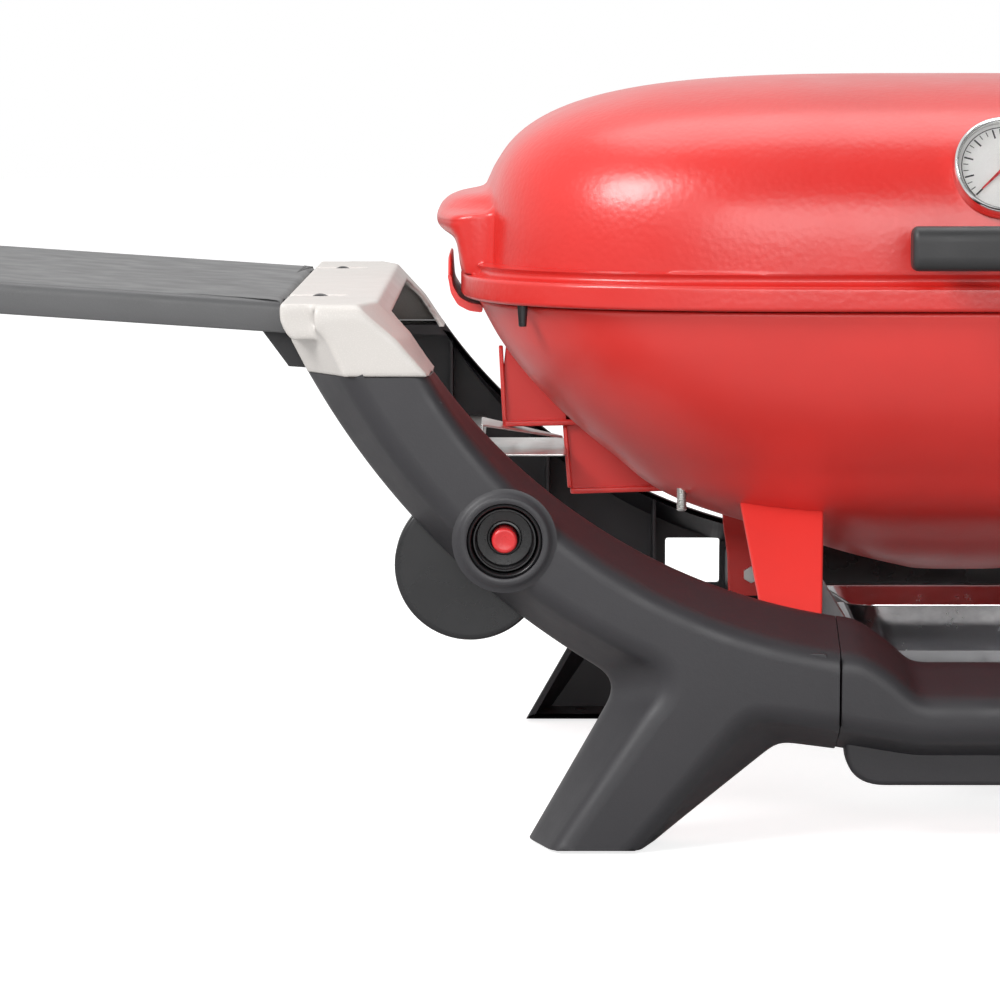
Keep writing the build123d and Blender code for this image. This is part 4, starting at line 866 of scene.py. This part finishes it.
def on_table(u, y, w):
    return (TABLE_AT[0] + u * math.cos(SLOPE) - w * math.sin(SLOPE), y,
            TABLE_AT[1] + u * math.sin(SLOPE) + w * math.cos(SLOPE))


def end_at(w, gap=19.5):
    """How far out the table starts at one level, clear of the yoke's nose."""
    dx, dz = HINGE[0] - TABLE_AT[0], HINGE[1] - TABLE_AT[1]
    u0 = dx * math.cos(SLOPE) + dz * math.sin(SLOPE)
    w0 = -dx * math.sin(SLOPE) + dz * math.cos(SLOPE)
    return u0 + math.sqrt(max(0.0, gap ** 2 - (w - w0) ** 2))


def table_ring(outline, w, gap=19.5):
    start = end_at(w, gap)
    return [on_table(u + start * max(0.0, 1 - u / 60), y, w) for u, y in outline]


HALF_Y, REACH = 180, 274
top_plan = rounded([(0, -HALF_Y), (70, -HALF_Y), (150, -HALF_Y), (REACH, -HALF_Y), (REACH, HALF_Y),
                    (150, HALF_Y), (70, HALF_Y), (0, HALF_Y), (0, 90), (0, 0), (0, -90)],
                   [2.5, 1, 1, 38, 38, 1, 1, 2.5, 1, 1, 1], 12)
low_plan = offset(top_plan, 3.0)
rings = [table_ring(offset(top_plan, 0.9), -18.0), table_ring(offset(top_plan, 0.25), -17.7),
         table_ring(top_plan, -17.0)]
rings += [table_ring(offset(top_plan, x), w) for w, x in ((-13, -0.0), (-9, 0.1), (-6.4, 0.3))]
for t in np.linspace(0.12, math.pi / 2, 9):
    rings.append(table_ring(offset(top_plan, 0.3 + 5.2 * (1 - math.cos(t))), -5.6 + 5.2 * math.sin(t)))
top_low = offset(top_plan, 9.0)
rings.append(table_ring(top_low, -0.25))
shell = stack(rings)


def table_face(outline, w):
    """The flat face inside an outline of the table at one level."""
    return moved(fill([(u, y, 0.0) for u, y in outline]), lambda u, y, _: table_ring([(u, y)], w)[0])


inner = [table_ring(offset(top_plan, 0.9), -18.0), table_ring(low_plan, -18.0), table_ring(low_plan, -3.6),
         table_ring(offset(top_plan, 4.0), -3.0)]
parts = [shell, table_face(top_low, -0.25), stack(inner), table_face(offset(top_plan, 4.0), -3.0)]


def table_rib(low, high, at):
    """A stiffening rib under the table, 2.2 mm thick, still lying flat."""
    outline = rounded([(low, -16), (high, -16), (high, -2.6), (low, -2.6)], 0.8, 2)
    return plate(outline, at - 1.1, at + 1.1, "Z", 0.6)


for y in (-90, 0, 90):
    parts.append(moved(table_rib(12, 270, y), lambda u, w, level: on_table(u, level, w)))
for u in (80, 145, 210):
    parts.append(moved(table_rib(-177.5, 177.5, u), lambda y, w, level: on_table(level, y, w)))
points, faces = join(*parts)
for side, word in SIDES:
    piece("table_top_" + word, mirror_points(points, side), faces, "table_grey", "table_" + word,
          ["table_" + word], crease=44)

# ---- igniter and housing discs

def lathe(name, profile, centre, slot, body, nodes, count=96, crease=40):
    return piece(name, *turned(profile, centre, "Y", count), slot, body, nodes, crease)


LEFT, RIGHT = (-CONTROL[0], CONTROL[1]), CONTROL
insert_rim = [(20.35, -214.4), (20.35, -229.6), (20.0, -230.6), (19.2, -231.0), (18.6, -230.6),
              (18.3, -229.8)]
insert = [(18.1, -218.4), (17.4, -217.6), (17.3, -226.2), (16.9, -227.2), (16.2, -227.2), (15.8, -226.2),
          (15.6, -217.8), (14.8, -216.6), (9.6, -216.2), (9.0, -217.4), (8.2, -217.6), (7.5, -217.0),
          (7.45, -214.4)]
lathe("igniter_insert", insert_rim + insert, LEFT, "black_plastic", "frame", ["igniter_bezel"])
button = [(0.02, -196.4), (6.5, -196.4), (6.95, -197), (6.95, -228.2), (6.75, -229.2), (6.2, -229.8),
          (5.4, -230.0), (4.6, -229.9), (3.0, -229.65), (0.02, -229.55)]
lathe("push_button", button, LEFT, "button_red", "igniter_button", ["igniter_button"], 64)
collar_insert = [(18.1, -217.6), (17.4, -216.6), (6.2, -216.2), (5.2, -215.6), (5.1, -214.4)]
lathe("knob_socket", insert_rim + collar_insert, RIGHT, "black_plastic", "frame", ["knob_bezel"])
DISC_AT, DISC_R, DISC_HOLE = (290.0, 154.0), 38.8, 14.6
outside = turned([(DISC_R, -187.9), (40.6, -187.7), (41.6, -187.0), (42.0, -186.0), (42.0, -175.0),
                  (41.4, -174.2), (39.8, -174.2), (39.2, -175.0), (38.9, -184.8)], (0, 0), "Y")
hole = circle(DISC_HOLE, 48, (CONTROL[0] - DISC_AT[0], CONTROL[1] - DISC_AT[1]))
wall = stack([[(x, y, z) for x, z in hole] for y in (-187.9, -184.8)])
disc = join(outside, *(facing(circle(DISC_R, 96), y, [hole]) for y in (-187.9, -184.8)), wall)
for side, word in ((-1, "igniter"), (1, "valve")):
    points, faces = moved(disc, lambda x, y, z: ((x + DISC_AT[0]) * side, y, z + DISC_AT[1]))
    piece("disc_" + word, points, faces, "black_plastic", "frame", [word + "_housing_disc"], 35)


# ---- sheet metal, foil tray

def swept_box(x0, x1, y0, y1, z0, z1, soft=0.25):
    corners = rounded([(x0, y0), (x1, y0), (x1, y1), (x0, y1)], soft * 1.4, 2)
    return plate(corners, z0, z1, "Z", soft, 2)


braces = swept_box(283, 294, -196, 196, 200.4, 201.6)
tongue = rounded([(234.7, -50), (283.4, -50), (283.4, 50), (234.7, 50)], [3, 0.3, 0.3, 3], 4)
low_tongue = plate(tongue, 200.4, 201.6, "Z", 0.3, 2)
web = rounded([(-25, 200.6), (25, 200.6), (25, 216.6), (-25, 216.6)], 0.4, 2)
upright = plate(web, 284, 285.2, "X", 0.3, 2)
wedge = rounded([(236.2, -3), (285.0, -24.6), (285.0, 24.6), (236.2, 3)], 0.5, 2)
RISE_FROM, RISE = 236, 9.2 / 48
rising = moved(plate(wedge, 0, 1.2, "Z", 0.3, 2), lambda x, y, z: (x, y, z + 206.2 + (x - RISE_FROM) * RISE))
brace = join(braces, low_tongue, upright, rising)
for side, word in SIDES:
    piece("brace_" + word, mirror_points(brace[0], side), brace[1], "zinc_steel", "frame",
          ["side_brace_" + word], 30)


def tray_loop(half_x, half_y, radius, count=420):
    """A rounded rectangle walked at even steps: points and outward normals."""
    outline = []
    for cx, cy, start in ((1, 1, 0), (-1, 1, 90), (-1, -1, 180), (1, -1, 270)):
        for a in np.linspace(start, start + 90, 17):
            a = math.radians(a)
            outline.append((cx * (half_x - radius) + radius * math.cos(a),
                            cy * (half_y - radius) + radius * math.sin(a)))
    outline = np.array(outline + outline[:1])
    along = np.concatenate([[0], np.cumsum(np.linalg.norm(np.diff(outline, axis=0), axis=1))])
    s = np.linspace(0, along[-1], count + 1)[:-1]
    points = np.stack([np.interp(s, along, outline[:, 0]), np.interp(s, along, outline[:, 1])], 1)
    tangent = np.roll(points, -1, 0) - np.roll(points, 1, 0)
    tangent /= np.linalg.norm(tangent, axis=1)[:, None]
    return points, np.stack([tangent[:, 1], -tangent[:, 0]], 1)


FOIL_X, FOIL_Y, FOIL_R = 70, 106, 16
FOIL_RIM, FOIL_FLOOR, FOIL_TILT = 111.4, 74.0, math.radians(5.0)
dice = np.random.default_rng(5)
count = 420
walk = np.arange(count) / count
pleats = np.zeros(count)
for cycles, size in ((46, 0.30), (61, 0.26), (83, 0.2), (19, 0.22), (131, 0.12)):
    pleats += size * np.sin(2 * math.pi * (cycles * walk + dice.random()))
loop, _ = tray_loop(FOIL_X, FOIL_Y, FOIL_R)
corner = np.clip((np.abs(loop[:, 0]) - 50) / 14, 0, 1) * np.clip((np.abs(loop[:, 1]) - 86) / 14, 0, 1)
sharp_folds = np.abs(np.sin(2 * math.pi * 60 * walk)) ** 0.6 - 0.5


def foil_ring(t, out=0.0, lift=0.0, fold=1.0):
    """One ring of the tray: t runs from the rim, 0, to the floor, 1."""
    points, normals = tray_loop(FOIL_X - 16 * t, FOIL_Y - 14 * t, FOIL_R)
    swell = math.sin(math.pi * min(1, t * 1.15 + 0.08)) ** 0.7
    depth = fold * (pleats * 0.55 + corner * sharp_folds * 1.5) * swell
    points = points + normals * (out + np.minimum(depth, 0.25) - 0.35)[:, None]
    top = FOIL_RIM - math.tan(FOIL_TILT) * points[:, 1]
    z = top * (1 - t) + FOIL_FLOOR * t + lift
    return [(x, y, h) for (x, y), h in zip(points, z)]


rim = []
for angle in np.linspace(-200, 60, 9):
    a = math.radians(angle)
    rim.append(foil_ring(0.0, 2.2 + 0.75 * math.cos(a), -0.78 + 0.68 * math.sin(a), 0.2))
outer_wall = [foil_ring(t, 0.55) for t in np.linspace(0.03, 0.97, 22)]
inner_wall = [foil_ring(t, 0.0) for t in np.linspace(0.97, 0.02, 22)]
under = [foil_ring(1.0, 0.2, 0.1, 0), foil_ring(1.0, -4, 0.02, 0)]
floor_in = [foil_ring(1.0, -2, 0.9, 0), foil_ring(1.0, -6, 0.8, 0)]
tray = stack(rim[:1] + outer_wall + under)
bottom = fill(under[-1])
inside = stack([rim[-1]] + inner_wall + floor_in)
floor_plan = floor_in[-1]
FOIL_IN = 74.9
crumple = []
for k in range(1, 12):
    shrink = 1 - k / 11.5
    plan = [(x * shrink, y * shrink) for x, y, _ in floor_plan]
    crumple.append([(x, y, FOIL_IN + 0.35 * math.sin(x * 0.9 + 2 * math.sin(y * 0.21)) * math.sin(y * 0.5))
                    for x, y in plan])
crumple.append([(0, 0, FOIL_IN)] * count)
piece("crinkled_tray", *join(stack(rim), tray, bottom, inside, stack([floor_plan] + crumple)),
      "foil", "foil_tray", ["foil_tray"], 32)

# ---- studs with threads

studs = []
for x, y in ((169, 100), (169, -100), (-169, 100), (-169, -100)):
    profile = [(0.02, 174.0), (2.2, 174.0), (2.9, 174.7)]
    for k in range(22):
        z = 175.0 + k
        profile += [(2.98, z), (2.98, z + 0.2), (2.5, z + 0.5), (2.5, z + 0.65)]
    profile += [(2.9, 198), (0.02, 198)]
    studs.append(turned(profile, (x, y), "Z", 40))
piece("threaded_studs", *join(*studs), "zinc_steel", "frame", ["box_studs"], 25)

# ---- handle and gauge

section = rounded([(-255, 320), (-237, 320), (-237, 344), (-255, 344)], 8.2, 8)
bar = plate(section, -54, 54, "X", 3.4, 6)
piece("handle_bar", *bar, "handle_black", "lid", ["lid_handle"], 40)

TILT = math.radians(24)


def on_gauge(points):
    """Points (x, forward, up) of the gauge turned and moved to its place on the lid."""
    c, s = math.cos(TILT), math.sin(TILT)
    return [(x, -202 - f * c + u * s, 372 + f * s + u * c) for x, f, u in points]


def gauge_turned(profile, count=96):
    points, faces = turned(profile, (0, 0), "Y", count)
    return on_gauge(points), faces


bezel = gauge_turned([(25.5, 3.6), (27.6, 3.6), (27.95, 4.2), (27.95, 8.6), (27.7, 9.8), (27.1, 10.6),
                      (26.5, 10.95), (25.9, 10.8), (25.55, 10.2), (25.5, 9.6)])
skirt = gauge_turned([(20, 0.4), (27.95, 0.4), (27.95, 4.4), (25.3, 4.4), (25.3, 3.9), (20, 3.9)])
piece("gauge_ring", *join(bezel, skirt), "gauge_chrome", "lid", ["gauge_bezel"], 35)
marks = []
for k in range(28):
    a = math.radians(225 - 10 * k)
    long_mark = k % 3 == 0
    r0, r1, half = (17.5 if long_mark else 19.8), 22.6, (0.45 if long_mark else 0.22)
    outline = [(r0, -half), (r1, -half), (r1, half), (r0, half)]
    flat = [(r * math.cos(a) - h * math.sin(a), r * math.sin(a) + h * math.cos(a)) for r, h in outline]
    marks.append((on_gauge([(x, f, u) for f in (4.7, 4.95) for x, u in flat]),
                  [(0, 1, 2, 3), (4, 5, 6, 7), (0, 1, 5, 4), (1, 2, 6, 5), (2, 3, 7, 6), (3, 0, 4, 7)]))
ARC_SECTION = ((23.1, 4.7), (23.6, 4.7), (23.6, 4.95), (23.1, 4.95))
arc = []
for k in range(49):
    a = math.radians(225 - 270 * k / 48)
    arc.append([(r * math.cos(a), f, r * math.sin(a)) for r, f in ARC_SECTION])
arc_points, arc_faces = capped(arc)
marks.append((on_gauge(arc_points), arc_faces))
piece("gauge_scale", *join(*marks), "handle_black", "lid")

# ---- control knob

def fluted(radius, count=24, depth=1.0, steps=8):
    ring = []
    for k in range(count * steps):
        a = 2 * math.pi * k / (count * steps)
        bite = max(0.0, math.cos(count * a)) ** 2 * depth
        ring.append((CONTROL[0] + (radius - bite) * math.cos(a), CONTROL[1] + (radius - bite) * math.sin(a)))
    return ring


knob_rings = []
for radius, depth, bite in ((4.3, 222.3, 0), (16.4, 222.1, 0.9), (17.2, 222.9, 0.95), (17.4, 224, 1.0),
                            (17.4, 234, 1.0), (17.2, 236, 0.8), (16.6, 237.2, 0.4), (15.6, 237.9, 0.1),
                            (9, 238.0, 0)):
    knob_rings.append([(x, -depth, z) for x, z in fluted(radius, 24, bite)])
knob_body = stack(knob_rings)
knob_cap = fill(knob_rings[-1])
bore = turned([(4.22, -237), (4.22, -222.3), (4.3, -222.3), (4.3, -237)], CONTROL, "Y", 48)
grip_line = rounded([(-4.4, -16.4), (4.4, -16.4), (3.6, 16.4), (-3.6, 16.4)], 4.0, 6)
grip = plate([(x + CONTROL[0], z + CONTROL[1]) for x, z in grip_line], -248.9, -237.6, "Y", 2.2, 5)
piece("knob", *join(knob_body, knob_cap, bore, grip), "black_plastic", "control_knob", ["control_knob"], 40)

# ---- burner ports

ports = []
for k in range(-7, 8):
    for y in (-92, 92):
        ports.append((k * 14.0, y, 0, -1 if y > 0 else 1))
for k in range(-3, 4):
    for x in (-150, 150):
        ports.append((x, k * 14.0, -1 if x > 0 else 1, 0))
port_parts = []
for x, y, nx, ny in ports:
    lean = math.radians(50)
    axis = np.array([nx * math.cos(lean), ny * math.cos(lean), math.sin(lean)])
    side_way = np.cross(axis, (ny, nx, 0.0))
    side_way /= np.linalg.norm(side_way)
    other = np.cross(axis, side_way)
    middle = np.array([x, y, 222.0])
    loops = []
    for radius, out in ((1.5, 7.6), (1.5, 8.02), (0.9, 8.04), (0.8, 7.7)):
        loops.append([tuple(middle + axis * out + radius * (side_way * math.cos(a) + other * math.sin(a)))
                      for a in np.linspace(0, 2 * math.pi, 13)[:-1]])
    points, faces = stack(loops)
    faces.append(tuple(range(36, 48)))
    port_parts.append((points, faces))
piece("burner_ports", *join(*port_parts), "grate_iron", "frame")

# ---- the remaining small parts

BODIES = frame["record"]["behaviour"]["bodies"]
BODY_OF = {node: body for body, nodes in BODIES.items() for node in nodes}


def dressed(node, width, crease=36.0):
    """A small CAD part with its sharp edges rounded."""
    work = bmesh.new()
    work.from_mesh(NODES[node].data)
    bmesh.ops.remove_doubles(work, verts=work.verts, dist=1e-6)
    bmesh.ops.dissolve_limit(work, angle_limit=math.radians(0.8), verts=work.verts, edges=work.edges)
    edges = [e for e in work.edges if e.is_manifold and e.calc_face_angle(0) > math.radians(34)]
    bmesh.ops.bevel(work, geom=edges, offset=width * MM, offset_type="OFFSET", segments=2,
                    profile=0.5, affect="EDGES", clamp_overlap=True)
    work.verts.index_update()
    points = [tuple(v.co / MM) for v in work.verts]
    faces = [tuple(v.index for v in f.verts) for f in work.faces]
    work.free()
    return piece(node + "_dressed", points, faces, SLOT_OF[node], BODY_OF[node], [node], crease)


DRESSED = {
    "foot_pads": 0.4, "frame_screws": 0.4, "leg_bolts": 0.5, "tray_hangers": 0.3, "tray_holder": 0.3,
    "tray_panel": 0.8, "grate_left": 1.2, "grate_right": 1.2, "hinge_brackets": 0.9, "hinge_pins": 0.4,
    "lid_lugs": 0.9, "handle_posts": 0.6, "lid_pegs": 0.5, "gas_valve": 0.6, "gas_inlet": 0.4,
    "knob_pointer": 0.2, "igniter_module": 0.5, "electrode": 0.3, "valve_stem": 0.3,
}
for node, width in DRESSED.items():
    dressed(node, width)

# ---- studio

def area(name, place, aim, size, power, colour=(1, 1, 1)):
    light = bpy.data.lights.new(name, "AREA")
    light.shape = "RECTANGLE"
    light.size, light.size_y = size
    light.energy = power
    light.color = colour
    lamp = placed(name, light)
    lamp.location = place
    lamp.rotation_euler = (Vector(aim) - Vector(place)).to_track_quat("-Z", "Y").to_euler()


world = bpy.data.worlds.new("studio")
bpy.context.scene.world = world
world.use_nodes = True
tree = world.node_tree
background = tree.nodes["Background"]
background.inputs["Color"].default_value = (1, 1, 1, 1)
sky = tree.nodes.new("ShaderNodeTexCoord")
side_on = tree.nodes.new("ShaderNodeVectorMath")
side_on.operation = "DOT_PRODUCT"
side_on.inputs[1].default_value = (-0.72, 0.45, 0.3)
tree.links.new(sky.outputs["Generated"], side_on.inputs[0])
glow = tree.nodes.new("ShaderNodeMapRange")
glow.interpolation_type = "SMOOTHSTEP"
for socket, value in (("From Min", -0.5), ("From Max", 0.7), ("To Min", 0.26), ("To Max", 0.86)):
    glow.inputs[socket].default_value = value
tree.links.new(side_on.outputs["Value"], glow.inputs["Value"])
seen = tree.nodes.new("ShaderNodeLightPath")
white = tree.nodes.new("ShaderNodeMath")
white.operation = "MAXIMUM"
tree.links.new(seen.outputs["Is Camera Ray"], white.inputs[0])
tree.links.new(glow.outputs["Result"], white.inputs[1])
tree.links.new(white.outputs["Value"], background.inputs["Strength"])

area("key", (-1.7, -1.5, 1.7), (-0.1, 0, 0.25), (0.9, 0.9), 52)
area("top", (0.0, 0.5, 2.6), (0, 0, 0.2), (2.4, 1.6), 30)
area("fill", (0.0, -2.8, 0.9), (0, 0, 0.2), (2.0, 1.0), 34)

floor_mesh = bpy.data.meshes.new("floor")
floor_mesh.from_pydata([(-12, -12, 0), (12, -12, 0), (12, 12, 0), (-12, 12, 0)], [], [(0, 1, 2, 3)])
floor = placed("floor", floor_mesh)
floor.location.z = -0.0002
paper = Nodes("floor_paper")
paper.set(Base_Color=(0.5, 0.5, 0.5, 1), Roughness=0.9, Specular_IOR_Level=0.1)
paper.set(Emission_Color=(1, 1, 1, 1))
lit = paper.add("ShaderNodeMath", operation="MULTIPLY")
lit.inputs[1].default_value = 0.78
paper.link(paper.add("ShaderNodeLightPath").outputs["Is Camera Ray"], lit, 0)
paper.link(lit.outputs["Value"], paper.shader, "Emission Strength")
floor_mesh.materials.append(paper.material)
floor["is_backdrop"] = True

CAMERA_AT, CAMERA_LENS = (-0.2689, -2.2327, 0.4285), 134.08
CAMERA_PITCH, CAMERA_YAW = 6.64, 0.13
camera_data = bpy.data.cameras.new("camera")
camera_data.lens, camera_data.sensor_width = CAMERA_LENS, 36.0
camera_data.clip_start, camera_data.clip_end = 0.05, 60
camera = placed("camera", camera_data)
camera.location = CAMERA_AT
camera.rotation_euler = (math.radians(90 - CAMERA_PITCH), 0, math.radians(CAMERA_YAW))
bpy.context.scene.camera = camera
bpy.context.scene.view_settings.view_transform = "Standard"

low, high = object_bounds()
